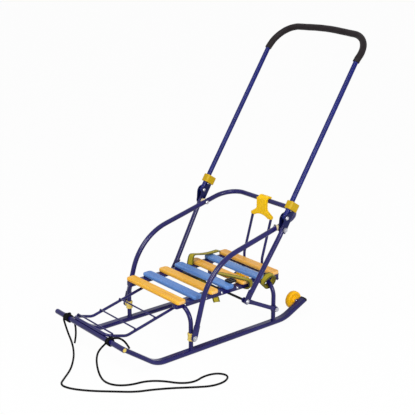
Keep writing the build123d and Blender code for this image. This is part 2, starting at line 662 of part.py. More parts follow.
def make_sleeve():
    """Locking sleeve that slides on the handle's leg and reaches back over the hinge channel."""
    x, z = on_handle(SLEEVE_START)
    away_x, away_z = on_handle(SLEEVE_START + SLEEVE_LENGTH)
    plane = Plane(origin=(x, HANDLE_Y, z), x_dir=(0, 1, 0), z_dir=(away_x - x, 0, away_z - z))
    back = 1 if plane.y_dir.X < 0 else -1
    outline = Pos(0, back * SLEEVE_BACK) * RectangleRounded(SLEEVE_W, SLEEVE_DEPTH, SLEEVE_R)
    sleeve = extrude(plane * outline, SLEEVE_LENGTH)
    rims = sleeve.edges().group_by(Axis(plane.origin, plane.z_dir))
    sleeve = fillet(rims[0] + rims[-1], SLEEVE_R / 4)
    return sleeve - extrude(plane * Circle(TUBE_D / 2 + RUN_FIT), SLEEVE_LENGTH)


def make_holder():
    """Holder: a plate before the hoop's back with a hook over the tube and two flared feet for the stays."""
    back_z = hoop_back_height()
    tube_r = TUBE_D / 2 + FACE_GAP
    hook_r = tube_r + HOLDER_WALL
    side = Plane(origin=(HOOP_BACK_X, HOLDER_HALF, back_z), x_dir=(1, 0, 0), z_dir=(0, -1, 0))
    ring = Circle(hook_r) - Circle(tube_r)
    end = radians(HOLDER_HOOK_END)
    far = 4 * hook_r
    below = make_face(Polyline((0, 0), (far * cos(end), far * sin(end)), (-far, -far), (far, -far), (far, 0), close=True))
    hook = extrude(side * (ring - below), 2 * HOLDER_HALF)
    brims = [e for e in hook.edges().filter_by(GeomType.CIRCLE) if abs(e.radius - hook_r) < SEAM]
    hook = fillet(brims, HOLDER_EDGE_R)
    front = Plane(origin=(HOOP_BACK_X + tube_r, 0, 0), x_dir=(0, 1, 0), z_dir=(1, 0, 0))
    half = [
        (HOLDER_HALF, back_z + tube_r),
        (HOLDER_HALF, HOLDER_FOOT_Z + HOLDER_FLARE),
        (HOLDER_FOOT_HALF, HOLDER_FOOT_Z + HOLDER_FOOT_H),
        (HOLDER_FOOT_HALF, HOLDER_FOOT_Z),
    ]
    outline = make_face(Polyline(*half, *[(-y, z) for y, z in reversed(half)], close=True))
    arch_r = (HOLDER_ARCH_HALF**2 + HOLDER_ARCH_RISE**2) / (2 * HOLDER_ARCH_RISE)
    outline -= Pos(0, HOLDER_FOOT_Z + HOLDER_ARCH_RISE - arch_r) * Circle(arch_r)
    waist = [v for v in outline.vertices() if abs(v.Y - HOLDER_FOOT_Z - HOLDER_FLARE) < SEAM]
    outline = fillet(waist, HOLDER_FLARE / 2)
    tips = [v for v in outline.vertices() if abs(v.X) > HOLDER_FOOT_HALF - SEAM]
    outline = fillet(tips, HOLDER_FOOT_H / 3)
    plate = extrude(front * outline, HOLDER_PLATE_T)
    plate = fillet(plate.edges().group_by(Axis.X)[-1], HOLDER_EDGE_R)
    return hook + plate


def holder_plate_x():
    """Middle of the holder's plate."""
    return HOOP_BACK_X + TUBE_D / 2 + FACE_GAP + HOLDER_PLATE_T / 2


def stay_bar_place():
    """X and Z of the rear bar, under the rails and in front of the stays."""
    stay_x = SLAT_X[-1] - SLAT_W / 2 - STAY_D / 2 - 1.0
    return stay_x + (STAY_D + BAR_D) / 2 + SEAM, RAIL_BOTTOM_Z - BAR_D / 2 - SEAM


def make_stay_bar():
    """Bar under the rear ends of the rails."""
    half = RAIL_Y + RAIL_W / 2
    return lateral(*stay_bar_place(), -half, half, BAR_D)


def make_stay():
    """Stay: hooked round the rear bar, rising behind the last slat into the holder's foot."""
    bar_x, bar_z = stay_bar_place()
    reach = (STAY_D + BAR_D) / 2 + SEAM
    points = [
        (bar_x, STAY_Y, bar_z - reach),
        (bar_x - reach, STAY_Y, bar_z - reach),
        (bar_x - reach, STAY_Y, STAY_KNEE_Z),
        (holder_plate_x(), STAY_Y, HOLDER_FOOT_Z - SEAM),
    ]
    stay = bent(points, [reach - 0.5, STAY_KNEE_R], STAY_D)
    above = Pos(points[-1][0], STAY_Y, HOLDER_FOOT_Z - SEAM + 3 * STAY_D) * Box(6 * STAY_D, 6 * STAY_D, 6 * STAY_D)
    return stay - above


def make_wheel():
    """Moulded wheel: hub, thin web and a rounded rim."""
    half = WHEEL_W / 2
    outer = WHEEL_D / 2
    rim = outer - WHEEL_RIM_T
    bore = AXLE_D / 2 + RUN_FIT
    hub = WHEEL_HUB_D / 2
    profile = [(bore, -WHEEL_HUB_W / 2), (hub, -WHEEL_HUB_W / 2), (hub, -WHEEL_WEB_T / 2), (rim, -WHEEL_WEB_T / 2),
               (rim, -half), (outer - 3, -half), (outer, -half + 3)]
    outline = make_face(Polyline(*profile, *[(r, -y) for r, y in reversed(profile)], close=True))
    wheel = revolve(Plane.XY * outline, axis=Axis.Y)
    centre = RUNNER_Y - RUNNER_W / 2 - SEAM - AXLE_COLLAR_L - WHEEL_SIDE_GAP - WHEEL_HUB_W / 2
    return Pos(WHEEL_X, centre, tail_height(WHEEL_X)) * wheel


def strap(start, end, profile, radii):
    """Webbing band in an upright plane from one point of the plan to another.

    The profile gives places along the plan line and heights; the band has its thickness about that line.
    """
    start = Vector(*start)
    heading = (Vector(*end) - start).normalized()
    across = Vector(-heading.Y, heading.X)
    plane = Plane(origin=start + across * (BELT_W / 2), x_dir=heading, z_dir=heading.cross(Vector(0, 0, 1)))
    line = FilletPolyline(*profile, radius=radii)
    band = make_face(offset(line, amount=BELT_T / 2, kind=Kind.ARC, side=Side.BOTH))
    return extrude(plane * band, BELT_W)


def make_belts():
    """Lap belt: left half over the slat ends, right half humped over the slats, and the tail below the seat."""
    top = SLAT_TOP_Z + BELT_LIFT + BELT_T / 2
    under = RAIL_BOTTOM_Z - BELT_LIFT - BELT_T / 2
    rail_edge = RAIL_Y + RAIL_W / 2
    slat_end = SLAT_LENGTH / 2
    gap_x = (SLAT_X[3] + SLAT_X[4]) / 2
    belts = {}

    start = (gap_x - BELT_W / 5, slat_end / 4)
    end = (SLAT_X[4] - BELT_W / 2, slat_end + BELT_BEND_R)
    reach = hypot(end[0] - start[0], end[1] - start[1])
    tuck = reach - BELT_W
    belts["left"] = strap(start, end, [(0, top), (reach, top), (reach, under), (tuck, under)], [BELT_BEND_R] * 2)

    start = (SLAT_X[6] + SLAT_W / 2, -slat_end + BELT_T)
    end = (gap_x, -slat_end + BELT_W + 2 * BELT_T)
    reach = hypot(end[0] - start[0], end[1] - start[1])
    hump = [(0, top), (reach * 0.44, top + BELT_HUMP / 4), (reach - BELT_BEND_R, top + BELT_HUMP),
            (reach, SLAT_BOTTOM_Z + BELT_T)]
    belts["right"] = strap(start, end, hump, [5 * BELT_W, BELT_BEND_R])

    start = (gap_x, -RAIL_Y + RAIL_W)
    end = (SLAT_X[2] - SLAT_W / 2, rail_edge + BELT_T)
    reach = hypot(end[0] - start[0], end[1] - start[1])
    sag = [(0, SLAT_BOTTOM_Z - BELT_LIFT - BELT_T / 2), (reach / 3, under), (reach, under), (reach, under - BELT_W)]
    belts["tail"] = strap(start, end, sag, [5 * BELT_W, BELT_BEND_R / 2])

    tilt = radians(BELT_LOOP_TILT)
    at = radians(BELT_LOOP_AT)
    along = Vector(0, cos(tilt), -sin(tilt))
    outward = Vector(0, sin(tilt), cos(tilt))
    bend = Vector(ARCH_X["rear"], RUNNER_Y - ARCH_R, ARCH_TOP_Z - ARCH_R)
    rim = bend + Vector(0, sin(at), cos(at)) * (ARCH_R - LEG_D / 2 - BELT_LIFT)
    middle = rim + outward * (BELT_LOOP_R - BELT_T)
    plane = Plane(origin=middle - along * BELT_W, z_dir=along)
    belts["loop"] = extrude(plane * (Circle(BELT_LOOP_R) - Circle(BELT_LOOP_R - BELT_T)), BELT_W)
    return belts


def make_buckle():
    """Slide buckle lying across two slats, with two slots for the webbing."""
    x = (SLAT_X[3] + SLAT_X[4]) / 2 + BUCKLE_L / 3
    y = SLAT_LENGTH / 2 - BUCKLE_L
    plate = Pos(x, y, SLAT_TOP_Z + BELT_LIFT + BUCKLE_T / 2) * Box(BUCKLE_L, BUCKLE_W, BUCKLE_T)
    plate = fillet(plate.edges().filter_by(Axis.Z), BUCKLE_T / 2)
    for side_sign in SIDES.values():
        slot = Box(BUCKLE_L / 5, BELT_W, 4 * BUCKLE_T)
        plate -= Pos(x + side_sign * BUCKLE_L / 5, y, SLAT_TOP_Z) * slot
    return plate


def make_knot(y_from, y_to):
    """Turns of rope tied round the crossbar."""
    turns = lateral(CROSSBAR_X, CROSSBAR_Z, y_from, y_to, KNOT_OD)
    ends = turns.edges().group_by(Axis.Y)
    turns = fillet(ends[0] + ends[-1], ROPE_D / 2)
    return turns - lateral(CROSSBAR_X, CROSSBAR_Z, y_from - 1, y_to + 1, TUBE_D + 2 * RUN_FIT)


nodes = {}


def add_pair(name, pieces):
    """Left and right pieces as nodes of their own."""
    for side, piece in pieces.items():
        nodes[f"{name}_{side}"] = piece


def add_shared(name, pieces):
    """Left and right pieces of one body in one node."""
    nodes[name] = Compound(children=[p.solid() for p in pieces.values()])


add_pair("runner", both_sides(make_runner))
add_shared("runner_plugs", both_sides(make_tail_plug))
nodes["nose_crossbar"] = lateral(CROSSBAR_X, CROSSBAR_Z, -CROSSBAR_HALF, CROSSBAR_HALF, TUBE_D)
add_shared("crossbar_plugs", both_sides(make_crossbar_plug))
for arch, x in ARCH_X.items():
    nodes[f"{arch}_arch"] = make_arch(x)
add_pair("seat_rail", both_sides(make_rail))
nodes["stay_bar"] = make_stay_bar()
for number, x in enumerate(SLAT_X, start=1):
    nodes[f"slat_{number}"] = make_slat(x)
nodes["footrest_frame"] = make_footrest()
nodes["footrest_wires"] = make_wires()
add_pair("hoop_clamp", both_sides(make_clamp))
add_shared("hoop_bolts", both_sides(make_pivot_bolt))
add_pair("link_clip", both_sides(make_clip))
nodes["holder"] = make_holder()
add_pair("stay", both_sides(make_stay))
add_pair("axle", both_sides(make_axle))
add_pair("belt", make_belts())
nodes["buckle"] = make_buckle()
nodes["hoop"] = make_hoop()
add_shared("strut_pins", both_sides(make_strut_pin))
add_shared("hoop_bushes", both_sides(make_bush))
add_pair("strut", both_sides(make_strut))
add_shared("foot_bolts", both_sides(make_foot_bolt))
add_pair("channel", both_sides(make_channel))
add_shared("hinge_pins", both_sides(make_hinge_pin))
add_pair("link", both_sides(make_link))
nodes["link_rod"] = make_link_rod()
nodes["handle"] = make_handle()
nodes["grip"] = make_grip()
add_pair("sleeve", both_sides(make_sleeve))
add_pair("wheel", both_sides(make_wheel))
for side, span in KNOTS.items():
    nodes[f"knot_{side}"] = make_knot(*span)
    nodes[f"rope_tail_{side}"] = cord(TAIL_ROUTES[side], ROPE_D, f"rope_tail_{side}")
nodes["rope"] = cord(ROPE_ROUTE, ROPE_D, "rope")

os.makedirs("parts", exist_ok=True)
for name, piece in nodes.items():
    export_step(piece, f"parts/{name}.step")
print("strut reach", round(STRUT_REACH, 2), "foot pivot", FOOT_PIVOT, "strut pivot", STRUT_PIVOT)
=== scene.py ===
"""Dresses a folding push sled: finishes, wheels, fasteners, lap belt, tow rope, studio and camera."""
import json
import logging
import math
from abc import ABC, abstractmethod
from collections.abc import Iterable, Sequence
from dataclasses import dataclass
from enum import Enum
from typing import NamedTuple

import bmesh
import bpy
from mathutils import Matrix, Vector, noise


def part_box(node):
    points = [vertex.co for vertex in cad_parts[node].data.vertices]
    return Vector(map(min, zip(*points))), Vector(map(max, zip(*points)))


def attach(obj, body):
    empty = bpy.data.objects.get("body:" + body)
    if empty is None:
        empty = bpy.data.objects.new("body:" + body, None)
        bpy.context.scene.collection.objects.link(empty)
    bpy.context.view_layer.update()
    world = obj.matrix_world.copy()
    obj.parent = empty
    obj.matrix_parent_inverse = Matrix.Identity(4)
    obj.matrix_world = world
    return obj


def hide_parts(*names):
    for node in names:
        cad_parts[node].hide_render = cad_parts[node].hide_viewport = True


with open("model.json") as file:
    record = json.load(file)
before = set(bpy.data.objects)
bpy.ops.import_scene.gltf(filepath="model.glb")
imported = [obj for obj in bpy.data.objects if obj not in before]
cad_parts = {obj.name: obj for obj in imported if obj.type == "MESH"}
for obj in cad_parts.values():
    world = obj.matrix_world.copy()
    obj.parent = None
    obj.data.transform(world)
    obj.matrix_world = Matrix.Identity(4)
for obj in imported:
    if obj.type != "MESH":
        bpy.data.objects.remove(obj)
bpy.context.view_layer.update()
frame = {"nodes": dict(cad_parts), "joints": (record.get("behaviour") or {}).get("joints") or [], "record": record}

LOG = logging.getLogger("push_sled")
Pair = tuple[float, float]
Point = tuple[float, float, float]
Colour = tuple[float, float, float, float]
Socket = bpy.types.NodeSocket
Input = Socket | float | Point | Colour
Shape = bmesh.types.BMesh
Vert = bmesh.types.BMVert
Edge = bmesh.types.BMEdge


def pivot(joint: str) -> Pair:
    """X and Z of a joint's axis in the record."""
    place = next(entry["pos_m"] for entry in frame["joints"] if entry["name"] == joint)
    return (place[0], place[2])


# Places and sizes: X and Z of the pivots and of the nose crossbar, its radius, Y of legs and handle.
HINGE = pivot("handle_fold")
HOOP_PIVOT = pivot("hoop_fold")
STRUT_PIVOT = pivot("strut_fold")
LINK_PIVOT = pivot("link_fold")
FOOT_PIVOT = (0.0264, 0.12367)
CROSSBAR = (0.4887, 0.0956)
CROSSBAR_RADIUS = 0.008
LEG_Y = 0.161
HANDLE_Y = 0.203

SAME_PLACE = 1e-6  # vertices closer than this are one
CREASE = math.radians(38)  # edges bent by more than this stay sharp
SPAN_STEPS = 10  # points on each span of a smooth line
SPLINE_ORDER = 3
WHITE = (1.0, 1.0, 1.0, 1.0)
FULL_SPAN = (0.0, 1.0)


class Body(Enum):
    """Bodies of the sled that a piece can ride on."""

    FRAME = "frame"
    HOOP = "hoop"
    STRUTS = "struts"
    HANDLE = "handle"
    WHEEL_LEFT = "wheel_left"
    WHEEL_RIGHT = "wheel_right"


class Side(Enum):
    """Sides of the sled, with the sign of their Y."""

    LEFT = 1
    RIGHT = -1

    @property
    def label(self) -> str:
        """Word used in node and piece names."""
        return self.name.lower()


class Head(Enum):
    """Shapes of a fastener's visible end."""

    HEX = "hex"
    DOME = "dome"


class Clouds(NamedTuple):
    """A cloudy pattern: clouds in a metre, finer layers, the range of values that counts, stirring."""

    scale: float
    detail: float
    span: Pair = FULL_SPAN
    twist: float = 0.0


class Relief(NamedTuple):
    """Height in metres that a pattern's value of 1 stands for, and the share of it that shows."""

    depth: float
    strength: float


def srgb(red: int, green: int, blue: int) -> Colour:
    """Linear colour of an 8-bit screen colour.

    Args:
        red: Red from 0 to 255.
        green: Green from 0 to 255.
        blue: Blue from 0 to 255.

    Returns:
        Linear red, green, blue and an alpha of 1.
    """
    channels = []
    for value in (red, green, blue):
        share = value / 255
        channels.append(share / 12.92 if share <= 0.04045 else ((share + 0.055) / 1.055) ** 2.4)
    return (channels[0], channels[1], channels[2], 1.0)


class NodeGraph:
    """Adds and joins the nodes of one tree."""

    def __init__(self, tree: bpy.types.NodeTree) -> None:
        """Starts on a tree that has its output."""
        self.tree = tree

    def join(self, source: Socket, target: Socket) -> None:
        """Links one socket to another."""
        self.tree.links.new(source, target)

    def node(self, kind: str, inputs: dict[str | int, Input], **settings: str) -> bpy.types.Node:
        """Adds a node.

        Args:
            kind: Blender's name of the node, without its prefix.
            inputs: Socket or value for its inputs.
            settings: Properties of the node, set before its inputs.

        Returns:
            The node.
        """
        node = self.tree.nodes.new(f"ShaderNode{kind}")
        for name, setting in settings.items():
            setattr(node, name, setting)
        for name, value in inputs.items():
            if isinstance(value, Socket):
                self.join(value, node.inputs[name])
            else:
                node.inputs[name].default_value = value
        return node

    def maths(self, what: str, first: Socket, second: Socket | float = 0.0) -> Socket:
        """Result of one sum, by Blender's name of the operation."""
        return self.node("Math", {0: first, 1: second}, operation=what).outputs[0]

    def surface(self, share: Socket, first: Socket, second: Socket, output: str) -> None:
        """Mixes two shaders, by the share of the second, into the tree's output."""
        mixed = self.node("MixShader", {"Fac": share, 1: first, 2: second})
        self.join(mixed.outputs[0], self.tree.nodes[output].inputs["Surface"])


class ShaderGraph(NodeGraph):
    """Adds patterns to the shader of one material."""

    def __init__(self, material: bpy.types.Material) -> None:
        """Starts from the material's own shader.

        Args:
            material: Material to add nodes to.
        """
        material.use_nodes = True
        super().__init__(material.node_tree)
        self.shader = self.tree.nodes["Principled BSDF"]

    def where(self, kind: str) -> Socket:
        """Coordinates of one kind."""
        return self.node("TexCoord", {}).outputs[kind]

    def feed(self, name: str, source: Socket) -> None:
        """Links a socket to a named input of the shader."""
        self.join(source, self.shader.inputs[name])

    def stretched(self, coords: Socket, stretch: Point) -> Socket:
        """Coordinates scaled by a factor for each axis."""
        return self.node("Mapping", {"Vector": coords, "Scale": stretch}).outputs["Vector"]

    def noise(self, coords: Socket, clouds: Clouds) -> Socket:
        """Values round 0.5 of a cloudy pattern."""
        size = {"Scale": clouds.scale, "Detail": clouds.detail, "Distortion": clouds.twist}
        return self.node("TexNoise", {"Vector": coords, **size}).outputs["Fac"]

    def cells(self, coords: Socket, scale: float) -> Socket:
        """Distance from the middle of a cell, in a pattern with so many cells in a metre."""
        return self.node("TexVoronoi", {"Vector": coords, "Scale": scale}).outputs["Distance"]

    def split(self, coords: Socket) -> list[Socket]:
        """The three coordinates, each by itself."""
        return list(self.node("SeparateXYZ", {0: coords}).outputs)

    def remap(self, source: Socket, span: Pair, result: Pair = FULL_SPAN) -> Socket:
        """Maps a range of a value to another range.

        Args:
            source: Value to map.
            span: Lowest and highest value.
            result: Results at these two.

        Returns:
            The mapped value.
        """
        ends = {"From Min": span[0], "From Max": span[1], "To Min": result[0], "To Max": result[1]}
        return self.node("MapRange", {"Value": source, **ends}).outputs["Result"]

    def blend(self, share: Socket, first: Socket | Colour, second: Socket | Colour) -> Socket:
        """Two colours blended by the share of the second."""
        return self.node("Mix", {0: share, 6: first, 7: second}, data_type="RGBA").outputs[2]

    def bump(self, height: Socket, relief: Relief) -> None:
        """Raises the surface by a pattern."""
        inputs = {"Strength": relief.strength, "Distance": relief.depth, "Height": height}
        self.feed("Normal", self.node("Bump", inputs).outputs["Normal"])


@dataclass(frozen=True)
class Finish(ABC):
    """A finish: two colours and its gloss. The kinds below add fine structure."""

    slot: str
    colour: Colour
    shade: Colour
    roughness: float
    metallic: float = 0.0
    sheen: float = 0.0
    gloss: float = 0.2
    variant: str = ""

    def material(self) -> bpy.types.Material:
        """Makes the material once and gives it back on later calls.

        Returns:
            The Blender material of this finish.
        """
        name = f"finish_{self.slot}{self.variant}"
        made = bpy.data.materials.get(name)
        if made:
            return made
        made = bpy.data.materials.new(name)
        graph = ShaderGraph(made)
        values = {"Base Color": self.colour, "Roughness": self.roughness, "Metallic": self.metallic,
                  "Specular IOR Level": self.gloss, "Sheen Weight": self.sheen}
        for socket, value in values.items():
            graph.shader.inputs[socket].default_value = value
        self.structure(graph)
        return made

    @abstractmethod
    def structure(self, graph: ShaderGraph) -> None:
        """Adds the fine structure to the material's graph."""

    def mottle(self, graph: ShaderGraph, pattern: Socket, span: Pair) -> Socket:
        """Drifts from colour to shade by a pattern.

        Args:
            graph: Graph of the material.
            pattern: Pattern of the drift.
            span: Values of the pattern where the drift starts and ends.

        Returns:
            Share of the shade.
        """
        share = graph.remap(pattern, span)
        graph.feed("Base Color", graph.blend(share, self.colour, self.shade))
        return share

    def dull(self, graph: ShaderGraph, pattern: Socket, span: Pair, change: Pair) -> None:
        """Varies the roughness by a pattern.

        Args:
            graph: Graph of the material.
            pattern: Pattern of the change.
            span: Values of the pattern where the change starts and ends.
            change: What is added to the roughness at these two.
        """
        ends = (self.roughness + change[0], self.roughness + change[1])
        graph.feed("Roughness", graph.remap(pattern, span, ends))

    def paint(self, *nodes: str) -> None:
        """Puts this finish on CAD nodes.

        Args:
            nodes: Names of the nodes.
        """
        for name in nodes:
            mesh = frame["nodes"][name].data
            mesh.materials.clear()
            mesh.materials.append(self.material())


@dataclass(frozen=True)
class Enamel(Finish):
    """Baked paint on steel, with the faint ripple of a sprayed coat."""

    drift: Clouds = Clouds(26.0, 3.0, (0.35, 0.65))
    gleam: Clouds = Clouds(120.0, 2.0, (0.3, 0.7))
    ripple: Clouds = Clouds(90.0, 1.0)
    change: Pair = (-0.012, 0.018)
    relief: Relief = Relief(0.0004, 0.012)

    def structure(self, graph: ShaderGraph) -> None:
        """Adds drifts of colour and gloss, and the ripple.

        Args:
            graph: Graph of the material.
        """
        here = graph.where("Object")
        self.mottle(graph, graph.noise(here, self.drift), self.drift.span)
        self.dull(graph, graph.noise(here, self.gleam), self.gleam.span, self.change)
        graph.bump(graph.noise(here, self.ripple), self.relief)


@dataclass(frozen=True, kw_only=True)
class Lacquer(Finish):
    """Stained and lacquered wood, its shade in a grain that runs along the board."""

    rear: Colour
    end: Colour
    fade: Pair = (-0.15, 0.2)
    run: Point = (1.0, 0.05, 1.0)
    figure: Clouds = Clouds(130.0, 5.0, (0.42, 0.72), 1.2)
    figure_share: float = 0.75
    pore_run: Point = (1.0, 0.03, 1.0)
    pores: Clouds = Clouds(800.0, 2.0, (0.55, 0.8))
    pore_share: float = 0.35
    pore_depth: float = 0.6
    cut: Pair = (0.1338, 0.1356)
    cut_share: float = 0.8
    gleam: Pair = (0.3, 0.7)
    change: Pair = (-0.06, 0.1)
    relief: Relief = Relief(0.0006, 0.2)

    def structure(self, graph: ShaderGraph) -> None:
        """Adds grain, pores, paler rear boards and bare cut ends.

        Args:
            graph: Graph of the material.
        """
        here = graph.where("Object")
        length, across, _ = graph.split(here)
        board = graph.blend(graph.remap(length, self.fade), self.rear, self.colour)
        figure = graph.noise(graph.stretched(here, self.run), self.figure)
        share = graph.remap(figure, self.figure.span, (0.0, self.figure_share))
        board = graph.blend(share, board, self.shade)
        pores = graph.noise(graph.stretched(here, self.pore_run), self.pores)
        share = graph.remap(pores, self.pores.span, (0.0, self.pore_share))
        board = graph.blend(share, board, self.shade)
        share = graph.remap(graph.maths("ABSOLUTE", across), self.cut, (0.0, self.cut_share))
        graph.feed("Base Color", graph.blend(share, board, self.end))
        self.dull(graph, figure, self.gleam, self.change)
        graph.bump(graph.maths("ADD", figure, graph.maths("MULTIPLY", pores, self.pore_depth)), self.relief)


@dataclass(frozen=True)
class Moulding(Finish):
    """Moulded plastic with a fine eroded grain."""

    flow: Clouds = Clouds(45.0, 3.0, (0.35, 0.7), 0.6)
    skin: Clouds = Clouds(1400.0, 2.0, (0.3, 0.7))
    change: Pair = (-0.06, 0.08)
    relief: Relief = Relief(0.0003, 0.25)

    def structure(self, graph: ShaderGraph) -> None:
        """Adds flow marks and the mould's grain.

        Args:
            graph: Graph of the material.
        """
        here = graph.where("Object")
        self.mottle(graph, graph.noise(here, self.flow), self.flow.span)
        skin = graph.noise(here, self.skin)
        self.dull(graph, skin, self.skin.span, self.change)
        graph.bump(skin, self.relief)


@dataclass(frozen=True)
class Plating(Finish):
    """Zinc plating with faint rubbed patches."""

    patches: Clouds = Clouds(300.0, 4.0, (0.35, 0.7))
    spangle: Clouds = Clouds(1600.0, 2.0)
    change: Pair = (0.0, 0.18)
    relief: Relief = Relief(0.0002, 0.15)

    def structure(self, graph: ShaderGraph) -> None:
        """Adds rubbed patches and the spangle of the zinc.

        Args:
            graph: Graph of the material.
        """
        here = graph.where("Object")
        patch = self.mottle(graph, graph.noise(here, self.patches), self.patches.span)
        self.dull(graph, patch, FULL_SPAN, self.change)
        graph.bump(graph.noise(here, self.spangle), self.relief)


@dataclass(frozen=True)
class Foam(Finish):
    """Closed-cell foam with a dull skin."""

    wear: Clouds = Clouds(60.0, 4.0, (0.35, 0.7))
    lumps: Clouds = Clouds(240.0, 3.0)
    cells: float = 650.0
    pit: Pair = (0.0, 0.7)
    change: Pair = (0.1, -0.08)
    relief: Relief = Relief(0.0007, 0.35)

    def structure(self, graph: ShaderGraph) -> None:
        """Adds cloudy wear of the skin, cells and their pits.

        Args:
            graph: Graph of the material.
        """
        here = graph.where("Object")
        self.mottle(graph, graph.noise(here, self.wear), self.wear.span)
        pits = graph.cells(here, self.cells)
        self.dull(graph, pits, self.pit, self.change)
        graph.bump(graph.maths("ADD", pits, graph.noise(here, self.lumps)), self.relief)


@dataclass(frozen=True)
class Webbing(Finish):
    """Woven band with selvedges in its shade, drawn on the band's own map: metres along, share across."""

    rib: float = 0.0019
    rows: float = 13.0
    border: Pair = (0.27, 0.36)
    groove_painted_shade: Pair = (0.25, 0.0)
    relief: Relief = Relief(0.0003, 0.5)

    def structure(self, graph: ShaderGraph) -> None:
        """Adds the ribs of the weave, with painted shade in their grooves, and the selvedges.

        Args:
            graph: Graph of the material.
        """
        along, across, _ = graph.split(graph.where("UV"))
        weft = graph.maths("SINE", graph.maths("MULTIPLY", along, math.tau / self.rib))
        warp = graph.maths("SINE", graph.maths("MULTIPLY", across, math.tau * self.rows))
        weave = graph.maths("MULTIPLY", weft, warp)
        off_middle = graph.maths("ABSOLUTE", graph.maths("SUBTRACT", across, 0.5))
        band = graph.blend(graph.remap(off_middle, self.border), self.colour, self.shade)
        # Painted shade: the weave's grooves, low in the bump, are darkened towards the shade colour.
        ribs = graph.remap(weave, (-1.0, 1.0), self.groove_painted_shade)
        graph.feed("Base Color", graph.blend(ribs, band, self.shade))
        graph.bump(weave, self.relief)


@dataclass(frozen=True, kw_only=True)
class Braid(Finish):
    """Braided cord, drawn on the strand's own map: share of its length, share of its girth."""

    length: float
    pitch: float = 0.009
    strands: float = 4.0
    relief: Relief = Relief(0.0006, 0.6)

    def structure(self, graph: ShaderGraph) -> None:
        """Adds the crossing strands of the braid, with painted light: lighter on their crowns, darker in the
        grooves.

        Args:
            graph: Graph of the material.
        """
        along, around, _ = graph.split(graph.where("UV"))
        run = graph.maths("MULTIPLY", along, math.tau * self.length / self.pitch)
        turn = graph.maths("MULTIPLY", around, math.tau * self.strands)
        one = graph.maths("SINE", graph.maths("ADD", run, turn))
        other = graph.maths("SINE", graph.maths("SUBTRACT", run, turn))
        weave = graph.maths("MULTIPLY", one, other)
        # Painted light: the colour follows the bump, lighter where the strands rise and darker where they sink.
        self.mottle(graph, weave, (-1.0, 1.0))
        graph.bump(weave, self.relief)


FRAME_PAINT = Enamel("frame_paint", srgb(27, 22, 90), srgb(22, 18, 78), 0.2, gloss=0.3)
HANDLE_PAINT = Enamel("frame_paint", srgb(20, 27, 104), srgb(16, 22, 90), 0.22, gloss=0.12, variant="_handle")
HINGE_PAINT = Enamel("hinge_paint", srgb(14, 20, 72), srgb(11, 15, 58), 0.25)
BLACK_METAL = Enamel("black_metal", srgb(18, 16, 20), srgb(12, 11, 14), 0.35, gloss=0.25)
SLAT_YELLOW = Lacquer("slat_yellow", srgb(242, 184, 56), srgb(216, 142, 36), 0.35,
                      rear=srgb(236, 178, 84), end=srgb(232, 186, 120))
SLAT_BLUE = Lacquer("slat_blue", srgb(94, 138, 204), srgb(62, 98, 168), 0.35,
                    rear=srgb(100, 142, 202), end=srgb(84, 122, 188))
YELLOW_PLASTIC = Moulding("yellow_plastic", srgb(248, 200, 2), srgb(240, 190, 1), 0.34)
# Painted shade: the holder's yellow plastic, darkened for the sleeves.
SLEEVE_PAINTED_SHADE = Moulding("yellow_plastic", srgb(194, 158, 6), srgb(182, 147, 5), 0.36, variant="_sleeve_painted_shade")
CREAM_PLASTIC = Moulding("yellow_plastic", srgb(226, 202, 112), srgb(206, 178, 84), 0.4, variant="_cream")
WHEEL_PLASTIC = Moulding("wheel_plastic", srgb(254, 192, 6), srgb(248, 180, 4), 0.4)
BLACK_PLASTIC = Moulding("black_plastic", srgb(16, 15, 18), srgb(11, 10, 13), 0.4)
BUSH_PLASTIC = Moulding("bush_plastic", srgb(222, 206, 160), srgb(214, 196, 150), 0.5)
FOAM = Foam("foam", srgb(27, 21, 24), srgb(35, 29, 32), 0.5, gloss=0.12)
WEBBING = Webbing("webbing", srgb(172, 156, 40), srgb(92, 90, 28), 0.75, sheen=0.1, gloss=0.1)
ZINC = Plating("zinc_steel", srgb(206, 206, 212), srgb(176, 176, 186), 0.2, metallic=1.0, gloss=0.5)
NODE_FINISHES = (FRAME_PAINT, HINGE_PAINT, BLACK_METAL, SLAT_YELLOW, SLAT_BLUE, YELLOW_PLASTIC, WHEEL_PLASTIC,
                 BLACK_PLASTIC, BUSH_PLASTIC, FOAM, ZINC)


def cord_finish(length: float) -> Braid:
    """Finish of a strand of the tow rope, its braid fitted to the strand's length."""
    # The second, lighter colour is the painted highlight on the braid's crowns.
    return Braid("cord", srgb(6, 5, 6), srgb(10, 9, 10), 0.6, gloss=0.08, length=length,
                 variant=f"_{round(1000 * length)}")


def settle(piece: bpy.types.Object, finish: Finish, body: Body, *stands_for: str) -> None:
    """Puts a piece in the scene, with its finish, riding on a body.

    Args:
        piece: The piece.
        finish: Finish of the piece.
        body: Body that it rides on.
        stands_for: CAD nodes that it replaces.
    """
    bpy.context.scene.collection.objects.link(piece)
    piece.data.materials.append(finish.material())
    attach(piece, body.value)
    if stands_for:
        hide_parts(*stands_for)
    LOG.info("piece %s on %s", piece.name, body.value)


def add_piece(name: str, shape: Shape, finish: Finish, body: Body, *stands_for: str) -> bpy.types.Object:
    """Turns a finished shape into a piece that rides on a body.

    Args:
        name: Name of the piece.
        shape: Finished shape, freed here.
        finish: Finish of the piece.
        body: Body that it rides on.
        stands_for: CAD nodes that it replaces.

    Returns:
        The new object.
    """
    mesh = bpy.data.meshes.new(name)
    shape.to_mesh(mesh)
    shape.free()
    mesh.shade_smooth()
    mesh.set_sharp_from_angle(angle=CREASE)
    piece = bpy.data.objects.new(name, mesh)
    settle(piece, finish, body, *stands_for)
    return piece


def facing(place: Point, side: Side, outward: bool = True) -> Matrix:
    """Frame whose Z runs along the sled's Y, away from a face.

    Args:
        place: Point on the face, for the left side.
        side: Side of the sled.
        outward: False for a face that looks to the sled's middle.

    Returns:
        The matrix.
    """
    way = side.value if outward else -side.value
    x, y, z = place
    return Matrix.Translation((x, y * side.value, z)) @ Matrix.Rotation(-way * math.pi / 2, 4, "X")


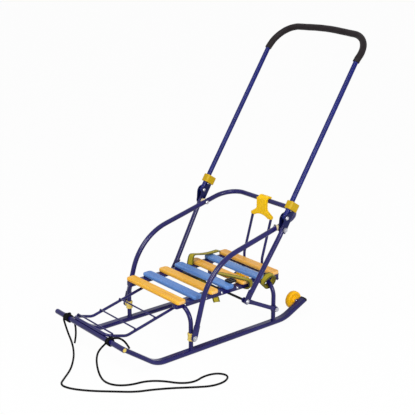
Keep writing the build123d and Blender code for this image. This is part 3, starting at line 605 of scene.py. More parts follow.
def absorb(shape: Shape, other: Shape) -> None:
    """Adds another shape to a shape.

    Args:
        shape: Shape to add to.
        other: Shape that is added, freed here.
    """
    spare = bpy.data.meshes.new("spare")
    other.to_mesh(spare)
    other.free()
    shape.from_mesh(spare)
    bpy.data.meshes.remove(spare)


def revolve(profile: Sequence[Pair], axis: Point, steps: int, place: Matrix) -> Shape:
    """Spins a section round an axis and puts it in place.

    Args:
        profile: Radius and height of each corner, closed on the axis or on itself.
        axis: Axis of the turn, Y or Z.
        steps: Number of sides.
        place: Where it stands.

    Returns:
        The turned shape.
    """
    shape = bmesh.new()
    corners = [shape.verts.new(Vector((radius, 0, 0)) + Vector(axis) * height) for radius, height in profile]
    edges = [shape.edges.new(pair) for pair in zip(corners, corners[1:])]
    if profile[0][0] > 0:
        edges.append(shape.edges.new((corners[-1], corners[0])))
    bmesh.ops.spin(shape, geom=corners + edges, cent=(0, 0, 0), axis=axis, angle=math.tau, steps=steps,
                   use_merge=True)
    bmesh.ops.remove_doubles(shape, verts=shape.verts, dist=SAME_PLACE)
    bmesh.ops.recalc_face_normals(shape, faces=shape.faces)
    bmesh.ops.transform(shape, matrix=place, verts=shape.verts)
    return shape


def extruded(shape: Shape, edges: list[Edge]) -> tuple[list[Vert], list[Edge]]:
    """Extrudes edges, which the caller then moves.

    Args:
        shape: Mesh of the edges.
        edges: Edges to extrude.

    Returns:
        The new vertices, and the new edges between them.
    """
    made = bmesh.ops.extrude_edge_only(shape, edges=edges)["geom"]
    verts = [item for item in made if isinstance(item, Vert)]
    far = [item for item in made if isinstance(item, Edge) and all(end in verts for end in item.verts)]
    return verts, far


def round_off(shape: Shape, geom: Iterable[Edge | Vert], offset: float, segments: int,
              affect: str = "EDGES") -> None:
    """Rounds edges or corners of a shape."""
    bmesh.ops.bevel(shape, geom=list(geom), offset=offset, segments=segments, profile=0.5, affect=affect,
                    material=-1)


def add_rod(shape: Shape, middle: Matrix, radius: float, length: float, sides: int, edge: float,
            edge_steps: int) -> None:
    """Adds a round or many-sided rod with its rims rounded.

    Args:
        shape: Mesh to add to.
        middle: Frame of its middle, with Z along the rod.
        radius: Radius of the rod.
        length: Length of the rod.
        sides: Number of its sides, over 4.
        edge: Rounding of its rims.
        edge_steps: Faces across the rounding.
    """
    made = bmesh.ops.create_cone(shape, cap_ends=True, segments=sides, radius1=radius, radius2=radius,
                                 depth=length, matrix=middle)["verts"]
    rims = {rim for vert in made for rim in vert.link_edges
            if any(len(face.verts) > 4 for face in rim.link_faces)}
    round_off(shape, rims, edge, edge_steps)


def add_bead(shape: Shape, place: Matrix, radius: float, stretch: Point) -> None:
    """Adds a bead of weld, a ball stretched along its own axes."""
    bmesh.ops.create_icosphere(shape, subdivisions=2, radius=radius,
                               matrix=place @ Matrix.Diagonal((*stretch, 1.0)))


@dataclass
class PaintedNodes:
    """Pieces that keep their CAD shape and get a finish."""

    def dress(self) -> None:
        """Paints every CAD node by its slot in the record."""
        finishes = {finish.slot: finish for finish in NODE_FINISHES}
        for entry in frame["record"]["subparts"]:
            finish = finishes.get(entry["material_slot"])
            if finish:
                finish.paint(entry["node"])
        HANDLE_PAINT.paint("handle")
        # The sleeves get the darkened copy of the yellow plastic, as painted shade.
        SLEEVE_PAINTED_SHADE.paint("sleeve_left", "sleeve_right")
        FRAME_PAINT.paint("link_clip_left", "link_clip_right")
        LOG.info("painted the CAD nodes")


@dataclass
class Wheel:
    """Moulded transport wheel: rolled rim, dished disc and a raised hub.

    Its flank is given in shares of the radius and of half the width, from the bore out to the tread.
    """

    side: Side
    bore: float = 0.0042
    steps: int = 64
    flank: tuple[Pair, ...] = (
        (0.0, 1.0), (0.24, 1.0), (0.3, 0.94), (0.34, 0.8), (0.37, 0.62), (0.42, 0.52), (0.52, 0.5),
        (0.62, 0.53), (0.7, 0.6), (0.75, 0.7), (0.79, 0.79), (0.84, 0.82), (0.89, 0.8), (0.94, 0.71),
        (0.98, 0.55), (1.0, 0.32),
    )

    def build(self) -> None:
        """Spins the section and stands in for the CAD wheel."""
        node = f"wheel_{self.side.label}"
        low, high = (Vector(corner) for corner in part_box(node))
        outer, half = (high.x - low.x) / 2, (high.y - low.y) / 2
        flank = [(max(self.bore, outer * radius), half * along) for radius, along in self.flank]
        profile = flank + [(radius, -along) for radius, along in reversed(flank)]
        shape = revolve(profile, (0, 1, 0), self.steps, Matrix.Translation((low + high) / 2))
        add_piece(f"turned_{node}", shape, WHEEL_PLASTIC, Body(node), node)


@dataclass
class BentTube:
    """Tube along straight runs joined by arcs, swept by extruding and spinning one ring."""

    points: list[Point]
    radii: tuple[float, ...]
    radius: float
    sides: int = 28
    pitch: float = 0.005

    def straight(self, shape: Shape, ring: list[Edge], run: Vector) -> list[Edge]:
        """Extrudes the ring along a straight run.

        Args:
            shape: Mesh that is swept.
            ring: Edges of the last ring.
            run: The run.

        Returns:
            Edges of the new last ring.
        """
        steps = max(1, round(run.length / self.pitch))
        for _ in range(steps):
            fresh, ring = extruded(shape, ring)
            bmesh.ops.translate(shape, verts=fresh, vec=run / steps)
        return ring

    def arc(self, shape: Shape, ring: list[Edge], centre: Vector, axis: Vector, turn: float,
            radius: float) -> list[Edge]:
        """Spins the ring round an arc.

        Args:
            shape: Mesh that is swept.
            ring: Edges of the last ring.
            centre: Centre of the arc.
            axis: Axis of the arc.
            turn: Angle of the arc.
            radius: Radius of the arc.

        Returns:
            Edges of the new last ring.
        """
        steps = max(2, round(radius * turn / self.pitch))
        made = bmesh.ops.spin(shape, geom=ring, cent=centre, axis=axis, angle=turn, steps=steps)["geom_last"]
        return [item for item in made if isinstance(item, Edge)]

    def sweep(self) -> Shape:
        """Sweeps the tube's skin, open at both ends.

        Returns:
            The skin.
        """
        corners = [Vector(point) for point in self.points]
        shape = bmesh.new()
        ahead = (corners[1] - corners[0]).normalized()
        place = Matrix.Translation(corners[0]) @ ahead.to_track_quat("Z", "Y").to_matrix().to_4x4()
        first = bmesh.ops.create_circle(shape, segments=self.sides, radius=self.radius, matrix=place)["verts"]
        ring = list({edge for vert in first for edge in vert.link_edges})
        reached = corners[0]
        for before, here, after, radius in zip(corners, corners[1:], corners[2:], self.radii):
            come, leave = (here - before).normalized(), (after - here).normalized()
            turn = come.angle(leave)
            tangent = radius * math.tan(turn / 2)
            start = here - come * tangent
            ring = self.straight(shape, ring, start - reached)
            centre = start + (leave - come * come.dot(leave)).normalized() * radius
            ring = self.arc(shape, ring, centre, come.cross(leave).normalized(), turn, radius)
            reached = here + leave * tangent
        self.straight(shape, ring, corners[-1] - reached)
        bmesh.ops.remove_doubles(shape, verts=shape.verts, dist=SAME_PLACE)
        return shape


@dataclass
class FoamGrip:
    """Foam tube over the top of the push handle, with soft rims and a slightly uneven skin."""

    lean: float = math.radians(33.15)
    start: float = 0.543
    knee: float = 0.55
    corner: float = 0.641
    back: float = 0.02
    crown: float = 0.012
    radii: tuple[float, ...] = (0.06, 0.082, 0.9, 0.082, 0.06)
    radius: float = 0.011
    bore: float = 0.0081
    lip: float = 0.0018
    lip_steps: int = 4
    uneven: float = 0.0004
    lump: float = 0.022

    def on_handle(self, along: float, back: float, y: float) -> Point:
        """Point so far up the leg from the hinge, behind the leg's line and across the sled."""
        sine, cosine = math.sin(self.lean), math.cos(self.lean)
        return (HINGE[0] - along * sine - back * cosine, y, HINGE[1] + along * cosine - back * sine)

    def route(self) -> list[Point]:
        """Line of the handle's tube under the grip.

        Returns:
            Its corners from the left leg to the right.
        """
        leg = [(self.start, 0.0), (self.knee, 0.0), (self.corner, self.back)]
        left = [self.on_handle(along, back, HANDLE_Y) for along, back in leg]
        right = [self.on_handle(along, back, -HANDLE_Y) for along, back in reversed(leg)]
        return left + [self.on_handle(self.corner + self.crown, self.back, 0.0)] + right

    def close_ends(self, shape: Shape) -> None:
        """Turns each open end in to the tube and rounds its rim.

        Args:
            shape: Skin of the grip.
        """
        rims = {edge for edge in shape.edges if edge.is_boundary}
        share = self.bore / self.radius
        for side in Side:
            fresh, _ = extruded(shape, [edge for edge in rims if side.value * edge.verts[0].co.y > 0])
            middle = sum((vert.co for vert in fresh), Vector()) / len(fresh)
            bmesh.ops.scale(shape, verts=fresh, vec=(share, share, share), space=Matrix.Translation(-middle))
        bmesh.ops.recalc_face_normals(shape, faces=shape.faces)
        round_off(shape, rims, self.lip, self.lip_steps)

    def build(self) -> None:
        """Sweeps the foam, softens it and stands in for the CAD grip."""
        shape = BentTube(self.route(), self.radii, self.radius).sweep()
        self.close_ends(shape)
        shape.normal_update()
        for vert in shape.verts:
            if not vert.is_boundary:
                vert.co += vert.normal * self.uneven * noise.noise(vert.co / self.lump)
        grip = add_piece("foam_grip", shape, FOAM, Body.HANDLE, "grip")


@dataclass
class HingeChannels:
    """Pressed channels of the handle's hinges: sheet folded round the strut, with rounded ears for the pin.

    Places are distances before the pin and up the strut from it. The ears are cut below and above the pin.
    """

    lean: float = math.radians(31.8)
    half: float = 0.0102
    back: float = -0.0232
    fold: float = 0.005
    fold_steps: int = 8
    ear: float = 0.0095
    bottom: float = -0.0465
    top: float = 0.0271
    below: tuple[Pair, Pair] = ((0.0095, -0.008), (-0.0045, -0.0355))
    above: tuple[Pair, Pair] = ((-0.005, 0.022), (0.0095, 0.006))
    corner: float = 0.005
    corner_steps: int = 6
    sheet: float = 0.002
    rim: float = 0.0005
    rim_steps: int = 2

    def section(self) -> list[Pair]:
        """Middle line of the folded sheet, seen along the strut.

        Returns:
            Distance before the pin and distance from the middle, from one ear round the back to the other.
        """
        cheek = [(self.ear, self.half)]
        for step in range(self.fold_steps + 1):
            turn = math.pi / 2 * step / self.fold_steps
            ahead = self.back + self.fold * (1 - math.sin(turn))
            cheek.append((ahead, self.half - self.fold * (1 - math.cos(turn))))
        return cheek + [(ahead, -aside) for ahead, aside in reversed(cheek)]

    def folded(self) -> Shape:
        """Folds the sheet at the pin's own place, then trims and rounds its ears.

        Returns:
            The sheet without its thickness.
        """
        shape = bmesh.new()
        row = [shape.verts.new((ahead, aside, self.bottom)) for ahead, aside in self.section()]
        upper, _ = extruded(shape, [shape.edges.new(pair) for pair in zip(row, row[1:])])
        bmesh.ops.translate(shape, verts=upper, vec=(0, 0, self.top - self.bottom))
        for (ahead, along), (far_ahead, far_along) in (self.below, self.above):
            outward = (along - far_along, 0, far_ahead - ahead)
            bmesh.ops.bisect_plane(shape, geom=shape.verts[:] + shape.edges[:] + shape.faces[:],
                                   plane_co=(ahead, 0, along), plane_no=outward, clear_outer=True)
        before_fold = self.back + self.fold + SAME_PLACE
        tips = [vert for vert in shape.verts if vert.co.x > before_fold]
        round_off(shape, tips, self.corner, self.corner_steps, "VERTICES")
        bmesh.ops.recalc_face_normals(shape, faces=shape.faces)
        return shape

    def build(self) -> None:
        """Makes the sheets of both sides, which stand in for the CAD channels."""
        for side in Side:
            shape = self.folded()
            place = Matrix.Translation((HINGE[0], side.value * HANDLE_Y, HINGE[1]))
            bmesh.ops.transform(shape, matrix=place @ Matrix.Rotation(-self.lean, 4, "Y"), verts=shape.verts)
            node = f"channel_{side.label}"
            channel = add_piece(f"pressed_{node}", shape, HINGE_PAINT, Body.STRUTS, node)
            wall = channel.modifiers.new("sheet", "SOLIDIFY")
            wall.thickness = self.sheet
            wall.offset = 0.0
            rim = channel.modifiers.new("rim", "BEVEL")
            rim.width = self.rim
            rim.segments = self.rim_steps


class Bolt(NamedTuple):
    """Bolts of one joint, one on each side, with the Y of their inner and outer faces on the left."""

    node: str
    body: Body
    pivot: Pair
    inner: float
    outer: float
    shank: float
    kind: Head
    head: float
    riveted: bool = False


@dataclass
class Fasteners:
    """Bolts, nuts and rivets of joints and seat rails, with heights above the face they stand on."""

    bolts: tuple[Bolt, ...] = (
        Bolt("hoop_bolts", Body.FRAME, HOOP_PIVOT, 0.1681, 0.1813, 0.004, Head.HEX, 0.0072),
        Bolt("foot_bolts", Body.STRUTS, FOOT_PIVOT, 0.1895, 0.1897, 0.004, Head.DOME, 0.0062),
        Bolt("strut_pins", Body.HOOP, STRUT_PIVOT, 0.166, 0.2145, 0.004, Head.HEX, 0.0068, riveted=True),
        Bolt("hinge_pins", Body.STRUTS, HINGE, 0.1918, 0.2142, 0.0035, Head.DOME, 0.0058, riveted=True),
    )
    shank_end: float = 0.0002
    washer: float = 0.0012
    washer_share: float = 1.12
    dome_rise: float = 0.0032
    hex_top: float = 0.0044
    hex_edge: float = 0.0006
    tip_top: float = 0.0054
    tip_share: float = 0.5
    inner_rise: float = 0.0028
    nut_y: float = 0.176
    nut_radius: float = 0.0082
    nut_span: Pair = (0.0001, 0.0046)
    nut_edge: float = 0.0007
    nut_tip: float = 0.0066
    nut_tip_radius: float = 0.0036
    rivet_x: tuple[float, ...] = (0.1455, 0.081, 0.0165, -0.048)
    rivet_y: float = 0.1305
    rivet_z: float = 0.1486
    rivet_radius: float = 0.0042
    rivet_rise: float = 0.0024
    edge_steps: int = 2
    ball_sides: int = 28
    ball_rings: int = 16

    def disc(self, shape: Shape, face: Matrix, radius: float, span: Pair, corners: int = 32,
             edge: float = 0.0004) -> None:
        """Adds a round or many-sided block on a face, with its rims rounded.

        Args:
            shape: Mesh to add to.
            face: Frame of the face.
            radius: Radius of the block.
            span: Heights where it begins and ends.
            corners: Number of its sides.
            edge: Rounding of its rims.
        """
        start, stop = span
        middle = face @ Matrix.Translation((0, 0, (start + stop) / 2))
        add_rod(shape, middle, radius, stop - start, corners, edge, self.edge_steps)

    def dome(self, shape: Shape, face: Matrix, radius: float, start: float, rise: float) -> None:
        """Adds a domed head on a face.

        Args:
            shape: Mesh to add to.
            face: Frame of the face.
            radius: Radius of the head.
            start: Height of its rim.
            rise: Height of the dome.
        """
        ball = bmesh.new()
        bmesh.ops.create_uvsphere(ball, u_segments=self.ball_sides, v_segments=self.ball_rings, radius=1.0)
        geom = ball.verts[:] + ball.edges[:] + ball.faces[:]
        bmesh.ops.bisect_plane(ball, geom=geom, plane_co=(0, 0, 0), plane_no=(0, 0, -1), clear_outer=True)
        bmesh.ops.contextual_create(ball, geom=[edge for edge in ball.edges if edge.is_boundary])
        size = Matrix.Diagonal((radius, radius, rise, 1.0))
        bmesh.ops.transform(ball, matrix=face @ Matrix.Translation((0, 0, start)) @ size, verts=ball.verts)
        bmesh.ops.recalc_face_normals(ball, faces=ball.faces)
        absorb(shape, ball)

    def head(self, shape: Shape, face: Matrix, bolt: Bolt) -> None:
        """Adds a bolt's washer and head on a face.

        Args:
            shape: Mesh to add to.
            face: Frame of the face.
            bolt: The bolt.
        """
        self.disc(shape, face, bolt.head * self.washer_share, (0.0, self.washer))
        if bolt.kind is Head.DOME:
            self.dome(shape, face, bolt.head, self.washer, self.dome_rise)
        else:
            self.disc(shape, face, bolt.head, (self.washer, self.hex_top), corners=6, edge=self.hex_edge)
            self.disc(shape, face, bolt.head * self.tip_share, (self.hex_top, self.tip_top))

    def build_joint_bolts(self) -> None:
        """Makes the bolts of hoop, struts and handle, which stand in for the CAD ones."""
        for bolt in self.bolts:
            x, z = bolt.pivot
            shape = bmesh.new()
            for side in Side:
                face = facing((x, bolt.outer, z), side)
                self.disc(shape, face, bolt.shank, (bolt.inner - bolt.outer, self.shank_end))
                self.head(shape, face, bolt)
                if bolt.riveted:
                    near = facing((x, bolt.inner, z), side, outward=False)
                    self.dome(shape, near, bolt.head, 0.0, self.inner_rise)
            add_piece(f"{bolt.node}_made", shape, ZINC, bolt.body, bolt.node)

    def build_link_nuts(self) -> None:
        """Makes the nuts at the links' rear ends, over the heads of the clips' pins."""
        shape = bmesh.new()
        for side in Side:
            face = facing((LINK_PIVOT[0], self.nut_y, LINK_PIVOT[1]), side)
            self.disc(shape, face, self.nut_radius, self.nut_span, corners=6, edge=self.nut_edge)
            self.disc(shape, face, self.nut_tip_radius, (self.nut_span[1], self.nut_tip))
        add_piece("link_nuts", shape, ZINC, Body.FRAME)

    def build_rail_rivets(self) -> None:
        """Makes the bright rivets on the rails' outer sides, between the slats."""
        shape = bmesh.new()
        for side in Side:
            for x in self.rivet_x:
                face = facing((x, self.rivet_y, self.rivet_z), side)
                self.dome(shape, face, self.rivet_radius, 0.0, self.rivet_rise)
        add_piece("rail_rivets", shape, ZINC, Body.FRAME)

    def build(self) -> None:
        """Makes all fasteners."""
        self.build_joint_bolts()
        self.build_link_nuts()
        self.build_rail_rivets()


@dataclass
class Mouldings:
    """Rolled ends of the nose crossbar, their flush inserts, and the collars of the hoop's pivots.

    Corners of rolled ends and collars are given by their distance in from the rim and from the end,
    those of inserts by a share of the bore and their distance below the end.
    """

    bar_end: float = 0.176
    rim: float = 0.007
    bore: float = 0.0066
    rolled: tuple[Pair, ...] = ((0.0, 0.0012), (0.0004, 0.0004), (0.001, 0.0))
    rim_sunk: float = 0.0003
    crown: tuple[Pair, ...] = ((1.0, 0.0012), (0.9, 0.0003), (0.55, 0.0), (0.0, 0.0))
    leg_radius: float = 0.0071
    collar: Pair = (0.0425, 0.0675)
    collar_radius: float = 0.0106
    collar_end: tuple[Pair, ...] = ((0.0014, 0.0), (0.0, 0.0014), (0.0, 0.005), (0.0007, 0.0056))
    boss_radius: float = 0.0085
    boss_start: float = 0.008
    boss_end: float = 0.1746
    boss_edge: float = 0.001
    boss_bore: float = 0.0042
    steps: int = 40

    def turned(self, profile: list[Pair], place: Matrix) -> Shape:
        """Section spun round its own Z and put in place."""
        return revolve(profile, (0, 0, 1), self.steps, place)

    def build_bar_ends(self) -> None:
        """Makes the crossbar's rolled ends and the inserts in them."""
        wall = [(self.bore, 0.0), (CROSSBAR_RADIUS, 0.0)]
        wall += [(CROSSBAR_RADIUS - inward, self.rim - back) for inward, back in self.rolled]
        wall.append((self.bore, self.rim - self.rim_sunk))
        plug = [(0.0, 0.0), (self.bore, 0.0)]
        plug += [(self.bore * share, self.rim - drop) for share, drop in self.crown]
        rims, inserts = bmesh.new(), bmesh.new()
        for side in Side:
            face = facing((CROSSBAR[0], self.bar_end, CROSSBAR[1]), side)
            absorb(rims, self.turned(wall, face))
            absorb(inserts, self.turned(plug, face))
        add_piece("crossbar_rims", rims, FRAME_PAINT, Body.FRAME, "crossbar_plugs")
        add_piece("crossbar_inserts", inserts, CREAM_PLASTIC, Body.FRAME)

    def build_collars(self) -> None:
        """Makes the collars on the front legs, each with a boss for the hoop's bolt."""
        x, pivot_z = HOOP_PIVOT
        low, high = self.collar
        ring = [(self.leg_radius, low)]
        ring += [(self.collar_radius - inward, low + up) for inward, up in self.collar_end]
        ring += [(self.collar_radius - inward, high - down) for inward, down in reversed(self.collar_end)]
        ring.append((self.leg_radius, high))
        reach = self.boss_end - LEG_Y
        boss = [(self.boss_bore, self.boss_start), (self.boss_radius, self.boss_start),
                (self.boss_radius, reach - self.boss_edge), (self.boss_radius - self.boss_edge, reach),
                (self.boss_bore, reach)]
        for side in Side:
            shape = self.turned(ring, Matrix.Translation((x, side.value * LEG_Y, 0.0)))
            absorb(shape, self.turned(boss, facing((x, LEG_Y, pivot_z), side)))
            node = f"hoop_clamp_{side.label}"
            add_piece(f"pivot_collar_{side.label}", shape, CREAM_PLASTIC, Body.FRAME, node)

    def build(self) -> None:
        """Makes all of them."""
        self.build_bar_ends()
        self.build_collars()


@dataclass
class FootrestWires:
    """Wires across the footrest, cut off over its rods, with a bead of weld before and behind each end."""

    places: tuple[Pair, ...] = ((0.46853, 0.11027), (0.38761, 0.10303), (0.31461, 0.12003))
    slopes: tuple[float, ...] = (0.281, -0.2288, -0.2288)
    half: float = 0.094
    rod_y: float = 0.092
    radius: float = 0.0025
    sides: int = 16
    edge: float = 0.0012
    edge_steps: int = 3
    drop: float = 0.0022
    bead: float = 0.0019
    stretch: Point = (1.0, 1.7, 0.9)

    def build(self) -> None:
        """Makes the wires and stands in for the CAD ones."""
        shape = bmesh.new()
        for (x, z), slope in zip(self.places, self.slopes):
            middle = Matrix.Translation((x, 0, z)) @ Matrix.Rotation(math.pi / 2, 4, "X")
            add_rod(shape, middle, self.radius, 2 * self.half, self.sides, self.edge, self.edge_steps)
            sine, cosine = math.sin(slope), math.cos(slope)
            for side in Side:
                for ahead in (-self.radius, self.radius):
                    spot = (x + ahead * cosine + self.drop * sine, side.value * self.rod_y,
                            z + ahead * sine - self.drop * cosine)
                    add_bead(shape, Matrix.Translation(spot), self.bead, self.stretch)
        add_piece("welded_wires", shape, FRAME_PAINT, Body.FRAME, "footrest_wires")


@dataclass
class Welds:
    """Painted weld beads where the legs stand on the runners."""

    leg_x: Pair = (HOOP_PIVOT[0], LINK_PIVOT[0])
    sole_top: float = 0.0142
    ring: float = 0.0074
    bead: float = 0.0017
    stretch: Point = (1.0, 1.15, 0.9)
    lumps: int = 20

    def build(self) -> None:
        """Lays a ring of overlapping beads round the foot of each leg."""
        shape = bmesh.new()
        for side in Side:
            for x in self.leg_x:
                for step in range(self.lumps):
                    turn = math.tau * step / self.lumps
                    spot = (x + self.ring * math.cos(turn), side.value * LEG_Y + self.ring * math.sin(turn),
                            self.sole_top)
                    place = Matrix.Translation(spot) @ Matrix.Rotation(turn, 4, "Z")
                    add_bead(shape, place, self.bead, self.stretch)
        add_piece("leg_welds", shape, FRAME_PAINT, Body.FRAME)


def smooth_curve(name: str, controls: Sequence[Point]) -> bpy.types.Curve:
    """Curve with one smooth open spline.

    Args:
        name: Name of the curve.
        controls: Control points.

    Returns:
        The curve.
    """
    curve = bpy.data.curves.new(name, "CURVE")
    curve.dimensions = "3D"
    curve.resolution_u = SPAN_STEPS
    spline = curve.splines.new("NURBS")
    spline.points.add(len(controls) - 1)
    for control, point in zip(spline.points, controls):
        control.co = (*point, 1.0)
    spline.order_u = SPLINE_ORDER
    spline.use_endpoint_u = True
    return curve


def spline_points(name: str, controls: Sequence[Point]) -> list[Vector]:
    """Points along a smooth line.

    Args:
        name: Name of the line.
        controls: Control points of the line.

    Returns:
        Points read from the line.
    """
    line = smooth_curve(name, controls)
    holder = bpy.data.objects.new(name, line)
    mesh = bpy.data.meshes.new_from_object(holder)
    points = [vert.co.copy() for vert in mesh.vertices]
    bpy.data.meshes.remove(mesh)
    bpy.data.objects.remove(holder)
    bpy.data.curves.remove(line)
    return points


@dataclass
class Strap:
    """Length of webbing that follows a route and keeps its width level."""

    node: str
    route: Sequence[Point]
    across: Point
    twist: float = 0.0
    camber: float = 0.0006
    width: float = 0.022
    thickness: float = 0.0016
    columns: int = 6
    twist_from: float = 0.6

    def first_row(self, shape: Shape, start: Vector) -> list[Vert]:
        """Draws the band's first edge.

        Args:
            shape: Mesh of the band.
            start: Middle of the edge.

        Returns:
            Its vertices.
        """
        level = Vector(self.across).normalized()
        row = []
        for column in range(self.columns + 1):
            share = column / self.columns
            lift = Vector((0, 0, self.camber * (1 - (2 * share - 1) ** 2)))
            row.append(shape.verts.new(start + level * self.width * (share - 0.5) + lift))
        return row

    def build(self) -> None:
        """Draws the first edge along the route, gives it thickness and stands in for its CAD node."""
        name = f"webbing_{self.node}"
        stations = spline_points(name, self.route)
        shape = bmesh.new()
        grid = shape.loops.layers.uv.new("band")
        row = self.first_row(shape, stations[0])
        place = {vert: (0.0, column / self.columns) for column, vert in enumerate(row)}
        edges = [shape.edges.new(pair) for pair in zip(row, row[1:])]
        travelled = 0.0
        turning = range(round(self.twist_from * len(stations)), len(stations))
        for index, (before, after) in enumerate(zip(stations, stations[1:]), 1):
            step = after - before
            travelled += step.length
            fresh, edges = extruded(shape, edges)
            bmesh.ops.translate(shape, verts=fresh, vec=step)
            for vert in fresh:
                near = (edge.other_vert(vert) for edge in vert.link_edges)
                old = next(other for other in near
                           if other in place and (other.co - vert.co + step).length < SAME_PLACE)
                place[vert] = (travelled, place[old][1])
            if index in turning:
                turn = Matrix.Rotation(self.twist / len(turning), 3, "Z")
                bmesh.ops.rotate(shape, verts=fresh, cent=after, matrix=turn)
        for face in shape.faces:
            for loop in face.loops:
                loop[grid].uv = place[loop.vert]
        band = add_piece(name, shape, WEBBING, Body.FRAME, self.node)
        wall = band.modifiers.new("thickness", "SOLIDIFY")
        wall.thickness = self.thickness
        wall.offset = 0.0


@dataclass
class LapBelt:
    """Lap belt of the seat: two halves, the tail below the seat and the loop round the rear arch."""

    left: tuple[Point, ...] = (
        (0.0170, 0.0180, 0.1440), (0.0168, 0.0184, 0.1560), (0.0160, 0.0215, 0.1672),
        (0.0105, 0.0380, 0.1686), (0.0030, 0.0600, 0.1688), (-0.0090, 0.0940, 0.1692),
        (-0.0195, 0.1240, 0.1686), (-0.0262, 0.1432, 0.1674), (-0.0272, 0.1462, 0.1560),
        (-0.0268, 0.1450, 0.1420), (-0.0235, 0.1356, 0.1396), (-0.0195, 0.1242, 0.1397),
    )
    right: tuple[Point, ...] = (
        (-0.1273, -0.1340, 0.1676), (-0.1000, -0.1294, 0.1688), (-0.0660, -0.1237, 0.1730),
        (-0.0300, -0.1177, 0.1810), (-0.0060, -0.1137, 0.1880), (0.0055, -0.1118, 0.1896),
        (0.0105, -0.1110, 0.1830), (0.0140, -0.1104, 0.1700), (0.0164, -0.1100, 0.1565),
    )
    tail: tuple[Point, ...] = (
        (0.0165, -0.0930, 0.1524), (0.0290, -0.0590, 0.1462), (0.0450, -0.0190, 0.1405),
        (0.0640, 0.0280, 0.1392), (0.0850, 0.0800, 0.1394), (0.1030, 0.1215, 0.1396),
        (0.1090, 0.1345, 0.1388), (0.1085, 0.1350, 0.1320), (0.1050, 0.1346, 0.1255),
    )
    loop_centre: Point = (-0.1083, 0.1382, 0.1439)
    loop_radius: float = 0.0252
    loop_tilt: float = math.radians(20)
    loop_start: float = math.radians(100)
    loop_turns: float = 1.12
    loop_growth: float = 0.0024
    loop_points: int = 14

    def loop_route(self) -> list[Point]:
        """Control points once round the loop, its ends lapped.

        Returns:
            The control points.
        """
        outward = Vector((0, math.sin(self.loop_tilt), math.cos(self.loop_tilt)))
        ahead = Vector((1, 0, 0))
        last = self.loop_points - 1
        points = []
        for step in range(self.loop_points):
            turn = self.loop_start + math.tau * self.loop_turns * step / last
            radius = self.loop_radius + self.loop_growth * (step / last - 0.5)
            place = Vector(self.loop_centre) + (ahead * math.cos(turn) + outward * math.sin(turn)) * radius
            points.append(tuple(place))
        return points

    def build(self) -> None:
        """Lays the straps."""
        loop_across = (0.0, math.cos(self.loop_tilt), -math.sin(self.loop_tilt))
        Strap("belt_left", self.left, (0.944, 0.330, 0.0)).build()
        Strap("belt_right", self.right, (0.165, -0.986, 0.0), twist=0.42).build()
        Strap("belt_tail", self.tail, (0.944, -0.331, 0.0)).build()
        Strap("belt_loop", self.loop_route(), loop_across, camber=0.0).build()


